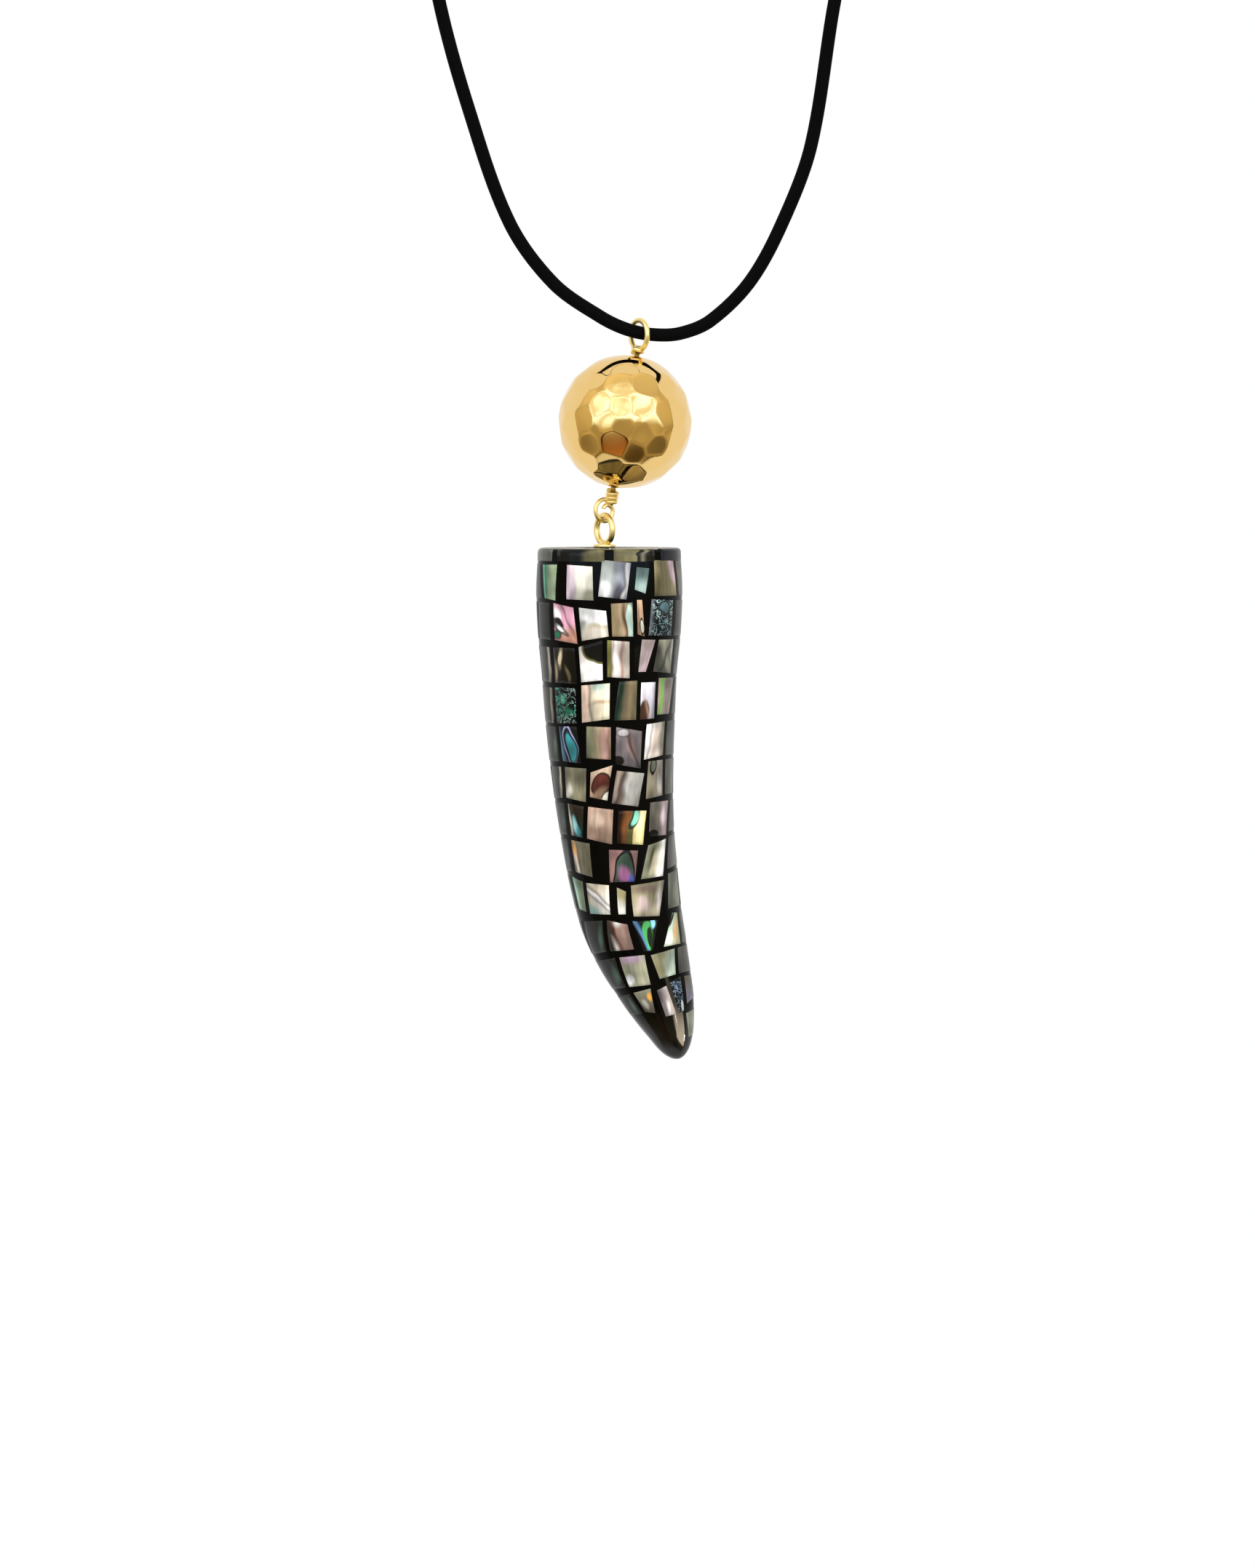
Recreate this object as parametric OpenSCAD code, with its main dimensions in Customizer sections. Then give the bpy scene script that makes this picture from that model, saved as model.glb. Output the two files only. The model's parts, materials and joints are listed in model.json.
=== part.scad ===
// Horn pendant on a cord, worn round the neck.
// A hammered gold bead hangs on the cord by a wire, and a horn covered in shell
// mosaic hangs from the curl at the lower end of that wire.
// Millimetres, +Z up, +X to the wearer's left as seen from the front, +Y to the nape.
// The origin is the middle of the clasp, where the necklace sits on the nape.

/* [Cord] */
// Thickness of the round cord
cord_d = 2; // [1.6:0.1:2.4]

/* [Clasp] */
// Thickness of the barrel clasp at the nape
clasp_d = 4.6; // [3.8:0.1:6]
// Length of the barrel clasp
clasp_len = 16; // [12:0.5:20]
// How far each end of the cord goes into the clasp
clasp_socket = 4; // [2:0.5:5]
// Rounding of the clasp's two ends
clasp_round = 0.8; // [0.4:0.1:1.2]

/* [Wire] */
// Thickness of the wire through the bead and of its bail ring
wire_d = 0.8; // [0.6:0.05:1]
// Outer width of the bail ring that the cord runs through
bail_d = 4.9; // [4.7:0.1:7]
// Wire between the bail ring and the bead
top_neck = 1; // [1:0.1:3]
// Thickness of the wire in the wraps and in the curl
curl_wire_d = 0.65; // [0.5:0.05:0.8]
// Turns wrapped round the wire above the bead
top_wraps = 1; // [1:1:2]
// Turns wrapped round the wire below the bead
low_wraps = 3; // [2:1:5]
// Bare wire between the lower wraps and the curl
stem_len = 0.4; // [0.4:0.1:2]
// Outer width of the curl that carries the horn
curl_d = 3.45; // [3.2:0.05:5]
// Lean of the bead and its wire to the left, in degrees
lean = 10; // [0:1:15]
// Turn of the curl away from the front, in degrees
turn = 34; // [20:1:40]
// How far round the curl the wire joins it, from the top, in degrees
curl_roll = 48; // [30:1:70]

/* [Bead] */
// Width of the hollow bead over its ridges
bead_d = 20; // [14:0.2:24]
// Thickness of its wall at the ridges
bead_wall = 0.9; // [0.8:0.05:1.5]
// Width of the hole for the wire
bead_hole_d = 1.5; // [1.2:0.1:1.8]
// Width of one hammered dent
dent_w = 3.8; // [3.4:0.1:6]
// Depth of a dent below its ridges
dent_depth = 0.3; // [0.1:0.05:0.5]

/* [Horn] */
// Height of the horn from its flat top to its tip
horn_len = 76.4; // [60:0.2:90]
// Width of its flat top
horn_top_d = 21.2; // [16:0.2:26]
// How far the tip lies to the right of the top's middle
horn_bend = 10.5; // [0:0.5:16]

/* [Mosaic] */
// Thickness of the shell tiles
shell_t = 0.8; // [0.4:0.1:1]
// Usual width of a tile on the back of the horn
tile_w = 4.6; // [3.5:0.1:6]
// Width of the black joint between two tiles of a row on the back
joint_w = 0.6; // [0.5:0.05:1]
// Most that a back tile's corner lies out of line up or down
tile_lift = 0.05; // [0:0.01:0.06]
// Most that a back tile's side leans
tile_sway = 0.35; // [0:0.05:0.5]

/* [Horn eye] */
// Outer width of the ring on top of the horn
eye_d = 5.1; // [5:0.1:7]
// Thickness of the ring's wire
eye_wire_d = 0.92; // [0.7:0.02:1.1]
// Width of the collar under the ring
collar_d = 3.3; // [2.6:0.1:4]
// Thickness of the collar
collar_h = 0.5; // [0.4:0.1:1]
// How deep the ring sits in the collar
collar_sink = 0.3; // [0.2:0.05:0.35]
// Thickness of the pin in the horn
pin_d = 1.3; // [1:0.1:2]
// Length of the pin in the horn
pin_len = 6; // [4:0.5:10]
// How far the ring stands left of the middle of the top
eye_left = 0.7; // [0:0.05:0.8]
// How far the ring stands in front of the middle of the top
eye_front = 1.05; // [0:0.05:1.2]

/* [Fit] */
// Gap that loose pieces and set pieces keep
fit = 0.08; // [0.05:0.01:0.1]

/* [Hidden] */
$fn = 48;

// Cord route from the clasp over the collarbone, the same on both sides: [out, front, up]
SIDE = [[22, -2.5, 0.5], [36, -11, 0.5], [48, -24, -2], [56, -40, -8], [60, -57, -19],
        [59, -73, -34], [56, -87, -52], [51.5, -98, -73], [46.5, -106, -96],
        [41.5, -112, -119], [37, -116, -141], [33, -118.5, -162]];
// Cord route across the front, from right to left: [across, front, up]
FRONT = [[29, -120, -180.5], [25.5, -120, -202], [21.5, -120, -213], [16.5, -120, -222.3],
         [10.5, -120, -228.3], [6, -120, -230.2], [2, -120, -230.4], [-2, -120, -229.6],
         [-6, -120, -227.7], [-13, -120, -222.7], [-19.5, -120, -213.7], [-25.5, -120, -197],
         [-30, -120, -180.5]];
// The bail hangs halfway between these two points of the front stretch
BAIL_AFTER = 6;
// Spacing of the cord's rings where it hangs in front and where it goes round the neck
front_step = 4.5;
side_step = 12;
cord_sides = 8;

// Horn sections: [down as a share of horn_len, aside as a share of horn_bend,
// half width as a share of the top's]
HORN = [[0, 0, 1], [0.08, 0, 1.03], [0.16, 0, 1.01], [0.24, 0, 0.955], [0.32, 0.01, 0.92],
        [0.4, 0.03, 0.88], [0.48, 0.065, 0.84], [0.56, 0.12, 0.8], [0.64, 0.2, 0.77],
        [0.72, 0.31, 0.725], [0.79, 0.47, 0.65], [0.85, 0.635, 0.55], [0.9, 0.77, 0.455],
        [0.94, 0.87, 0.35], [0.975, 0.945, 0.235], [1, 1, 0]];
// Rows of shell: [start, end, slant to the right, front tiles]. Start, end and slant are
// shares of horn_len, and negative ones lie on the flat top, where -1 is its middle. A front
// tile is [angles, drops], each [top left, top right, low left, low right]: degrees to the
// right of the front, and how many thousandths of horn_len a corner lies under its row's
// start or end.
MOSAIC = [
    [-0.64, -0.09, 0, [
        [[-47, -3, -47, -3], [0, 0, 0, 0]], [[3, 40, 3, 40], [0, 0, 0, 0]]]],
    [0.029, 0.097, 0, [
        [[-67, -46, -62, -47], [1, 0, 0, 4]], [[-36, -13, -36, -12], [0, 3, 1, 3]],
        [[-6, 18, -9, 14], [-10, -4, -5, 1]], [[22, 34, 20, 30], [4, 7, -18, -10]],
        [[38, 63, 38, 67], [-9, -7, -5, -5]]]],
    [0.105, 0.175, 0, [
        [[-50, -29, -50, -26], [-1, 7, 3, 10]], [[-25, -2, -23, 0], [7, 13, 4, -5]],
        [[1, 19, 2, 20], [-1, -3, -5, -5]], [[22, 27, 23, 30], [-8, -8, -9, -5]],
        [[35, 61, 33, 60], [-9, -6, -7, -5]]]],
    [0.183, 0.252, 0, [
        [[-53, -29, -54, -28], [8, 8, 8, 10]], [[-26, -5, -25, -5], [6, -8, 7, 3]],
        [[-2, 17, -2, 18], [-8, -5, -3, 0]], [[27, 41, 25, 33], [-9, -8, -12, -12]],
        [[44, 65, 40, 65], [-8, -8, -12, -7]]]],
    [0.260, 0.334, 0, [
        [[-55, -30, -55, -31], [7, 8, 4, 4]], [[-25, 1, -26, 0], [3, -1, 3, -3]],
        [[8, 25, 3, 24], [-4, -5, 0, 0]], [[28, 44, 27, 43], [-1, -1, 0, -1]],
        [[47, 72, 46, 65], [-9, -8, -8, -8]]]],
    [0.342, 0.414, 0, [
        [[-53, -31, -52, -29], [0, 0, -4, 1]], [[-22, 1, -24, 0], [0, 3, -9, -4]],
        [[5, 30, 3, 28], [3, 13, 5, 17]], [[34, 58, 31, 56], [0, -4, 0, -6]]]],
    [0.423, 0.492, 0, [
        [[-50, -24, -53, -28], [-4, 0, -13, -3]], [[-21, 1, -24, -6], [8, -4, -12, -3]],
        [[4, 32, -3, 24], [7, 16, 3, 14]], [[36, 56, 32, 55], [-7, -8, 1, -3]]]],
    [0.501, 0.570, 0.009, [
        [[-52, -31, -54, -37], [-6, -1, -13, -8]],
        [[-27, -1, -33, -6], [-1, 5, -7, 5]], [[3, 33, -2, 26], [7, 8, 3, 9]],
        [[37, 66, 33, 59], [-8, -10, -7, -7]], [[70, 86, 63, 84], [-10, -10, -13, -19]]]],
    [0.577, 0.642, 0.014, [
        [[-56, -30, -57, -33], [-9, -4, -12, -3]], [[-11, 20, -15, 12], [7, 9, 7, 7]],
        [[31, 58, 18, 47], [-1, -13, 3, -1]], [[63, 84, 54, 82], [-17, -24, -14, -22]]]],
    [0.650, 0.712, 0.018, [
        [[-67, -48, -67, -53], [-9, -1, -8, -4]],
        [[-44, -16, -48, -21], [1, 4, -1, 0]], [[-9, 1, -13, -4], [8, 16, 0, 0]],
        [[6, 48, 3, 34], [4, -6, 5, 9]], [[55, 80, 48, 76], [-18, -25, -4, -7]]]],
    [0.721, 0.783, 0.012, [
        [[-28, -5, -38, -7], [-4, 8, -8, -4]], [[0, 31, 2, 15], [3, 9, 3, 5]],
        [[54, 65, 29, 60], [0, 3, 3, 5]]]],
    [0.791, 0.844, 0.012, [
        [[-30, 3, -37, -4], [-4, 0, 3, 6]], [[9, 46, 10, 38], [3, 1, -1, -3]]]],
    [0.853, 0.910, 0.004, [
        [[-36, -6, -33, -15], [0, 1, -14, -7]], [[0, 18, -1, 21], [8, 5, 5, 5]],
        [[23, 46, 27, 41], [1, -3, 5, 3]], [[54, 80, 50, 78], [-1, 3, -7, -14]]]],
    [0.922, 0.952, 0, [
        [[-150, -100, -150, -100], [0, 0, 0, 0]], [[43, 102, 49, 100], [-2, -5, 13, 10]]]]];
CROWN_ROWS = [0];
SIDE_ROWS = [for (k = [1:len(MOSAIC) - 1]) k];
TIP_RINGS = [0.974, 0.986, 0.995];
rim_sides = 40;
tip_sides = 14;
// Strips that a tile bends in, and the columns of its list
strips = 2;
TOP_LEFT = 0;
TOP_RIGHT = 1;
LOW_LEFT = 2;
LOW_RIGHT = 3;
// Share of horn_len that one step of a front tile's drop stands for
drop_step = 0.001;
// Most degrees of bare resin that one flat face spans
bare_step = 25;
// Share of the wire's thickness that its wraps sink into it and into each other
bite = 0.06;
// Sides of the ball inside the bead, and rows and columns of the bead's own facets
ball_sides = 144;
bead_rows = 36;
bead_columns = 60;
// Golden angle, which spreads the dents evenly over the bead
golden = 137.508;

// Places down the pendant, each from what carries it
bail_at = (FRONT[BAIL_AFTER] + FRONT[BAIL_AFTER + 1]) / 2;
bail_r = (bail_d - wire_d) / 2;
ring_at = bail_at + [0, 0, cord_d / 2 + fit - bail_r + wire_d / 2];
down = [-sin(lean), 0, -cos(lean)];
bead_far = bail_r + top_neck + bead_d / 2;
bead_at = ring_at + down * bead_far;
wrap_r = (wire_d + curl_wire_d) / 2 - bite * curl_wire_d;
wrap_step = curl_wire_d * (1 - bite);
low_wrap_far = bead_far + bead_d / 2 + fit + curl_wire_d / 2;
stem_far = low_wrap_far + low_wraps * wrap_step + stem_len;
curl_r = (curl_d - curl_wire_d) / 2;
curl_at = ring_at + down * stem_far
    - curl_r * [cos(turn) * sin(curl_roll), sin(turn) * sin(curl_roll), cos(curl_roll)];
curl_low = curl_at - [0, 0, curl_r];
eye_r = (eye_d - eye_wire_d) / 2;
eye_at = curl_low + [0, 0, (curl_wire_d + eye_wire_d) / 2 + fit - eye_r];
collar_top = eye_at[2] - eye_d / 2 + collar_sink;
horn_at = [eye_at[0] + eye_left, eye_at[1] + eye_front, collar_top - collar_h - fit];

function unit(v) = v / norm(v);
function sum(list, n) = n < 1 ? 0 : list[n - 1] + sum(list, n - 1);
function quad(a, b, c, d) = [[a, b, c], [a, c, d]];
function blend(a, b, u) = a + (b - a) * u;

// Smooth curve through two points with the slopes there, a share u of the way along
function curve(p, q, slope_p, slope_q, u) =
    (2 * pow(u, 3) - 3 * pow(u, 2) + 1) * p + (pow(u, 3) - 2 * pow(u, 2) + u) * slope_p
    + (3 * pow(u, 2) - 2 * pow(u, 3)) * q + (pow(u, 3) - pow(u, 2)) * slope_q;

// Column c of a table at x, smoothly between its rows, whose first column rises
function row_slope(table, i, c) =
    let (a = table[max(i - 1, 0)], b = table[min(i + 1, len(table) - 1)])
    (b[c] - a[c]) / (b[0] - a[0]);
function lookup_smooth(table, x, c) =
    let (i = max([0, for (k = [0:len(table) - 2]) if (table[k][0] <= x) k]),
         step = table[i + 1][0] - table[i][0])
    curve(table[i][c], table[i + 1][c], row_slope(table, i, c) * step,
          row_slope(table, i + 1, c) * step, (x - table[i][0]) / step);

// The cord's centreline: its route, smoothed, with a point every step along it
mirrored = [for (k = [len(SIDE) - 1:-1:0]) [-SIDE[k][0], SIDE[k][1], SIDE[k][2]]];
cord_in = clasp_len / 2 - clasp_socket;
cord_out = clasp_len / 2 + cord_d;
route = concat([[cord_in, 0, 0], [cord_out, 0, 0]], SIDE, FRONT, mirrored,
               [[-cord_out, 0, 0], [-cord_in, 0, 0]]);
function route_slope(i) =
    let (a = max(i - 1, 0), b = min(i + 1, len(route) - 1))
    (route[b] - route[a]) / (norm(route[min(i + 1, b)] - route[i]) + norm(route[i] - route[a]));
function is_bail(i) = i == len(SIDE) + 2 + BAIL_AFTER;
function in_front(i) = i > len(SIDE) && i < len(SIDE) + len(FRONT) + 2;
function ring_count(i) =
    is_bail(i) ? 1
    : max(1, round(norm(route[i + 1] - route[i]) / (in_front(i) ? front_step : side_step)));
centreline = concat(
    [for (i = [0:len(route) - 2], n = [0:ring_count(i) - 1])
        let (long = norm(route[i + 1] - route[i]))
        curve(route[i], route[i + 1], route_slope(i) * long, route_slope(i + 1) * long,
              n / ring_count(i))],
    [route[len(route) - 1]]);

// Directions across a line at each of its points, turning as little as they can
function along(line, i) = unit(line[min(i + 1, len(line) - 1)] - line[max(i - 1, 0)]);
function square_to(v, t) = unit(v - (v * t) * t);
function acrosses(line) =
    [for (i = 0, u = square_to([0, 0, 1], along(line, 0)); i < len(line);
          i = i + 1, u = i < len(line) ? square_to(u, along(line, i)) : u) u];

module tube(line, d, sides) {
    across = acrosses(line);
    rings = len(line);
    points = [for (i = [0:rings - 1], k = [0:sides - 1])
        line[i] + d / 2 * (cos(360 * k / sides) * across[i]
                           + sin(360 * k / sides) * cross(along(line, i), across[i]))];
    walls = [for (i = [0:rings - 2], k = [0:sides - 1])
        let (a = i * sides + k, b = i * sides + (k + 1) % sides)
        each quad(a, a + sides, b + sides, b)];
    ends = [[for (k = [0:sides - 1]) k],
            [for (k = [sides - 1:-1:0]) (rings - 1) * sides + k]];
    polyhedron(points, concat(walls, ends));
}

// Ring of wire in the plane across +X, turned round the upright axis
module wire_ring(r, d, turned) {
    rotate([0, 90, turned]) rotate_extrude() translate([r, 0]) circle(d = d);
}

module neck_cord() {
    color("black") tube(centreline, cord_d, cord_sides);
}

module clasp() {
    socket_r = cord_d / 2 + fit;
    socket_deep = clasp_socket + fit;
    color("gold") rotate([0, 90, 0]) translate([0, 0, -clasp_len / 2])
        rotate_extrude() difference() {
            union() {
                square([clasp_d / 2 - clasp_round, clasp_len]);
                translate([0, clasp_round])
                    square([clasp_d / 2, clasp_len - 2 * clasp_round]);
                for (up = [clasp_round, clasp_len - clasp_round])
                    translate([clasp_d / 2 - clasp_round, up]) circle(clasp_round);
            }
            square([socket_r, socket_deep]);
            translate([0, clasp_len - socket_deep]) square([socket_r, socket_deep]);
        }
}

// One wire: bail ring, wraps, the length through the bead, wraps and curl
module bead_wire() {
    top_wrap_far = bead_far - bead_d / 2 - fit - curl_wire_d / 2;
    core_end = low_wrap_far + (low_wraps - 1) * wrap_step;
    color("gold") union() {
        translate(ring_at) rotate([0, lean, 0]) {
            wire_ring(bail_r, wire_d, turn);
            translate([0, 0, -core_end]) cylinder(d = wire_d, h = core_end - bail_r);
            translate([0, 0, -stem_far])
                cylinder(d = curl_wire_d, h = stem_far - core_end + wire_d);
            for (k = [0:top_wraps - 1])
                translate([0, 0, -top_wrap_far + k * wrap_step]) wrap();
            for (k = [0:low_wraps - 1])
                translate([0, 0, -low_wrap_far - k * wrap_step]) wrap();
        }
        translate(curl_at) wire_ring(curl_r, curl_wire_d, turn + 90);
    }
}

module wrap() {
    rotate_extrude() translate([wrap_r, 0]) circle(d = curl_wire_d);
}

// Dents spread over the bead by the golden angle, and how high the bead is between them
dents = round(4 * PI * pow(bead_d / dent_w, 2) / 4 / sin(60));
dent_dirs = [for (k = [0:dents - 1])
    let (up = 1 - (2 * k + 1) / dents, out = sqrt(1 - up * up))
    [out * cos(k * golden), out * sin(k * golden), up]];
function bead_reach(dir) =
    let (off = min([for (c = dent_dirs) norm(dir - c)]) * bead_d / dent_w)
    bead_d / 2 - dent_depth * (1 - min(1, off * off));
function bead_dir(row, column) =
    let (down_by = 180 * row / bead_rows, round_by = 360 * column / bead_columns)
    [sin(down_by) * cos(round_by), sin(down_by) * sin(round_by), cos(down_by)];

module hammered_bead() {
    dirs = concat([[0, 0, 1]],
        [for (r = [1:bead_rows - 1], c = [0:bead_columns - 1]) bead_dir(r, c)],
        [[0, 0, -1]]);
    last = len(dirs) - 1;
    function spot(r, c) = 1 + (r - 1) * bead_columns + c % bead_columns;
    faces = concat(
        [for (c = [0:bead_columns - 1]) [0, spot(1, c + 1), spot(1, c)]],
        [for (r = [1:bead_rows - 2], c = [0:bead_columns - 1])
            each quad(spot(r, c), spot(r, c + 1), spot(r + 1, c + 1), spot(r + 1, c))],
        [for (c = [0:bead_columns - 1])
            [last, spot(bead_rows - 1, c), spot(bead_rows - 1, c + 1)]]);
    color("gold") translate(bead_at) rotate([0, lean, 0]) difference() {
        polyhedron([for (dir = dirs) dir * bead_reach(dir)], faces);
        sphere(d = bead_d - 2 * bead_wall, $fn = ball_sides);
        cylinder(d = bead_hole_d, h = bead_d + 2, center = true);
    }
}

// Ring, collar and pin in one piece, set into the top of the horn
module horn_eye() {
    color("gold") union() {
        translate(eye_at) wire_ring(eye_r, eye_wire_d, turn);
        translate([eye_at[0], eye_at[1], collar_top - collar_h])
            cylinder(d = collar_d, h = collar_h);
        translate([eye_at[0], eye_at[1], horn_at[2] - pin_len])
            cylinder(d = pin_d, h = pin_len + collar_h);
    }
}

// The horn in its own frame, with the middle of its flat top at the origin
squares = [for (row = HORN) [row[0], row[2] * row[2]]];
function horn_axis(s) = [horn_bend * lookup_smooth(HORN, s, 1), 0, -horn_len * s];
function horn_r(s) = horn_top_d / 2 * sqrt(max(0, lookup_smooth(squares, s, 1)));
function horn_side(s) =
    let (t = unit(horn_axis(min(s + 0.01, 1)) - horn_axis(max(s - 0.01, 0))))
    s < 0.02 ? [1, 0, 0] : [-t[2], 0, t[0]];
// Point at share s down the horn, at an angle from the front, some depth under the surface
function horn_point(s, angle, depth) =
    s <= 0
    ? [(1 + s) * horn_top_d / 2 * sin(angle), -(1 + s) * horn_top_d / 2 * cos(angle), -depth]
    : horn_axis(s)
      + (horn_r(s) - depth) * (sin(angle) * horn_side(s) - cos(angle) * [0, 1, 0]);

// Tiles of a row, each [angles, shares down] of its corners: the charted front ones, then as
// many as fit round the back
function row_r(k) = let (s = (MOSAIC[k][0] + MOSAIC[k][1]) / 2)
    s < 0 ? (1 + s) * horn_top_d / 2 : horn_r(s);
function degrees_of(length, k) = length / row_r(k) * 180 / PI;
function front_tiles(k) =
    let (edges = MOSAIC[k][0] * [1, 1, 0, 0] + MOSAIC[k][1] * [0, 0, 1, 1])
    [for (tile = MOSAIC[k][3]) [tile[0], edges + tile[1] * drop_step]];
function back_tiles(k) =
    let (front = front_tiles(k), last = front[len(front) - 1],
         from = [last[0][TOP_RIGHT], last[0][LOW_RIGHT]],
         from_s = [last[1][TOP_RIGHT], last[1][LOW_RIGHT]],
         to = [front[0][0][TOP_LEFT], front[0][0][LOW_LEFT]] + [360, 360],
         to_s = [front[0][1][TOP_LEFT], front[0][1][LOW_LEFT]],
         joint = degrees_of(joint_w, k) * [1, 1], room = to - joint - from,
         count = round(room * [0.5, 0.5] / degrees_of(tile_w + joint_w, k)),
         stray = rands(-1, 1, 6 * count, k + 10),
         side = [for (i = [0:count])
             i % count == 0 ? [0, 0]
             : stray[i] * 1.5 * joint + stray[count + i] * degrees_of(tile_sway, k) * [1, -1]],
         lift = tile_lift / (MOSAIC[k][0] < 0 ? horn_top_d : horn_len))
    [for (i = [0:count - 1])
        let (left = from + joint + room * i / count + side[i],
             right = from + room * (i + 1) / count + side[i + 1],
             left_s = blend(from_s, to_s, i / count),
             right_s = blend(from_s, to_s, (i + 1) / count),
             high = [for (n = [2:5]) lift * stray[n * count + i]])
        [[left[0], right[0], left[1], right[1]],
         [left_s[0] + high[0] + high[1], right_s[0] + high[0] - high[1],
          left_s[1] + high[2] + high[3], right_s[1] + high[2] - high[3]]]];
TILES = [for (k = [0:len(MOSAIC) - 1]) concat(front_tiles(k), back_tiles(k))];

// A tile's two edges at a depth, drawn in by an amount: the top one, then the low one
function tile_points(k, tile, inset, depth) =
    let (turn_in = degrees_of(inset, k),
         step_in = inset / (MOSAIC[k][0] < 0 ? horn_top_d / 2 : horn_len),
         angles = tile[0] + turn_in * [1, -1, 1, -1],
         downs = tile[1] + step_in * [1, 1, -1, -1])
    [for (low = [0, 1], n = [0:strips])
        let (left = 2 * low + TOP_LEFT, right = 2 * low + TOP_RIGHT,
             angle = blend(angles[left], angles[right], n / strips),
             s = blend(downs[left], downs[right], n / strips))
        horn_point(s + MOSAIC[k][2] * sin(angle), angle, depth)];

// Faces between an outer and an inner outline of a tile, seen from the outer one
edge = strips + 1;
function strip_faces(base) =
    [for (n = [0:strips - 1])
        each quad(base + n, base + n + 1, base + edge + n + 1, base + edge + n)];
function wall_faces(outer, inner) =
    concat(
        [for (n = [0:strips - 1])
            each quad(outer + n, outer + n + 1, inner + n + 1, inner + n)],
        quad(outer + strips, outer + edge + strips, inner + edge + strips, inner + strips),
        [for (n = [strips:-1:1])
            each quad(outer + edge + n, outer + edge + n - 1,
                      inner + edge + n - 1, inner + edge + n)],
        quad(outer + edge, outer, inner, inner + edge));
function flipped(faces) = [for (f = faces) [f[2], f[1], f[0]]];

// All the tiles of some rows, each a closed curved plate that keeps clear of its pocket
module tiles(rows) {
    plates = [for (k = rows, tile = TILES[k])
        concat(tile_points(k, tile, fit, 0), tile_points(k, tile, fit, shell_t))];
    size = 4 * edge;
    polyhedron(
        [for (plate = plates) each plate],
        [for (i = [0:len(plates) - 1])
            let (outer = i * size, inner = i * size + 2 * edge)
            each concat(strip_faces(outer), flipped(strip_faces(inner)),
                        flipped(wall_faces(outer, inner)))]);
}

counts = [for (row = TILES) len(row)];
function pocket(k, j) = 4 * edge * (sum(counts, k) + j);
function beside(k, j) = (j + 1) % counts[k];

// Bare resin after a tile. A wide stretch of it has points of its own, which keep it round.
function bare_width(k, j, low) =
    (TILES[k][beside(k, j)][0][2 * low + TOP_LEFT] - TILES[k][j][0][2 * low + TOP_RIGHT] + 720)
    % 360;
BARE = [for (k = [0:len(TILES) - 1])
    [for (j = [0:counts[k] - 1]) floor(bare_width(k, j, 0) / bare_step)]];
row_bares = [for (row = BARE) sum(row, len(row))];
function bare_index(k, j, low, n) =
    pocket(len(TILES), 0) + 2 * (sum(row_bares, k) + sum(BARE[k], j)) + low * BARE[k][j] + n - 1;
function bare_angle(k, j, low, n) =
    TILES[k][j][0][2 * low + TOP_RIGHT] + bare_width(k, j, low) * n / (BARE[k][j] + 1);
function bare_point(k, j, low, n) =
    let (angle = bare_angle(k, j, low, n),
         s = blend(TILES[k][j][1][2 * low + TOP_RIGHT],
                   TILES[k][beside(k, j)][1][2 * low + TOP_LEFT], n / (BARE[k][j] + 1)))
    horn_point(s + MOSAIC[k][2] * sin(angle), angle, 0);
function bare_faces(k, j) =
    let (lines = [for (low = [0, 1])
        concat([pocket(k, j) + low * edge + strips],
               [for (n = [1:1:BARE[k][j]]) bare_index(k, j, low, n)],
               [pocket(k, beside(k, j)) + low * edge])])
    [for (n = [0:BARE[k][j]])
        each quad(lines[0][n], lines[0][n + 1], lines[1][n + 1], lines[1][n])];

// Closed lines of points round the horn, as [angle, point number], and the skin between two
function row_line(k, low) =
    [for (j = [0:counts[k] - 1])
        let (angles = TILES[k][j][0])
        each concat(
            [for (n = [0:strips])
                [blend(angles[2 * low + TOP_LEFT], angles[2 * low + TOP_RIGHT], n / strips),
                 pocket(k, j) + low * edge + n]],
            [for (n = [1:1:BARE[k][j]]) [bare_angle(k, j, low, n), bare_index(k, j, low, n)]])];
function ring_line(first, sides) = [for (i = [0:sides - 1]) [360 * i / sides - 60, first + i]];
function nearest(line, angle) =
    let (off = [for (p = line) abs((p[0] - angle + 540) % 360 - 180)])
    [for (i = [0:len(line) - 1]) if (off[i] == min(off)) i][0];
function started_at(line, first) =
    [for (i = [0:len(line)])
        let (p = line[(first + i) % len(line)]) [p[0] + 360 * floor((first + i) / len(line)), p[1]]];
function skin(upper, lower) =
    let (a = started_at(upper, 0), b = started_at(lower, nearest(lower, upper[0][0])),
         wound = b[0][0] > a[0][0] + 180 ? -360 : b[0][0] < a[0][0] - 180 ? 360 : 0,
         n = len(a) - 1, m = len(b) - 1)
    [for (i = 0, j = 0, on_a = a[1][0] <= b[1][0] + wound; i < n || j < m;
          next_i = on_a ? i + 1 : i, next_j = on_a ? j : j + 1, i = next_i, j = next_j,
          on_a = j >= m || (i < n && a[i + 1][0] <= b[j + 1][0] + wound))
        on_a ? [a[i][1], a[i + 1][1], b[j][1]] : [a[i][1], b[j + 1][1], b[j][1]]];
function cap(line, pole, over) =
    [for (i = [0:len(line) - 1])
        let (p = line[i][1], q = line[(i + 1) % len(line)][1])
        over ? [pole, q, p] : [p, q, pole]];

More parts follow.
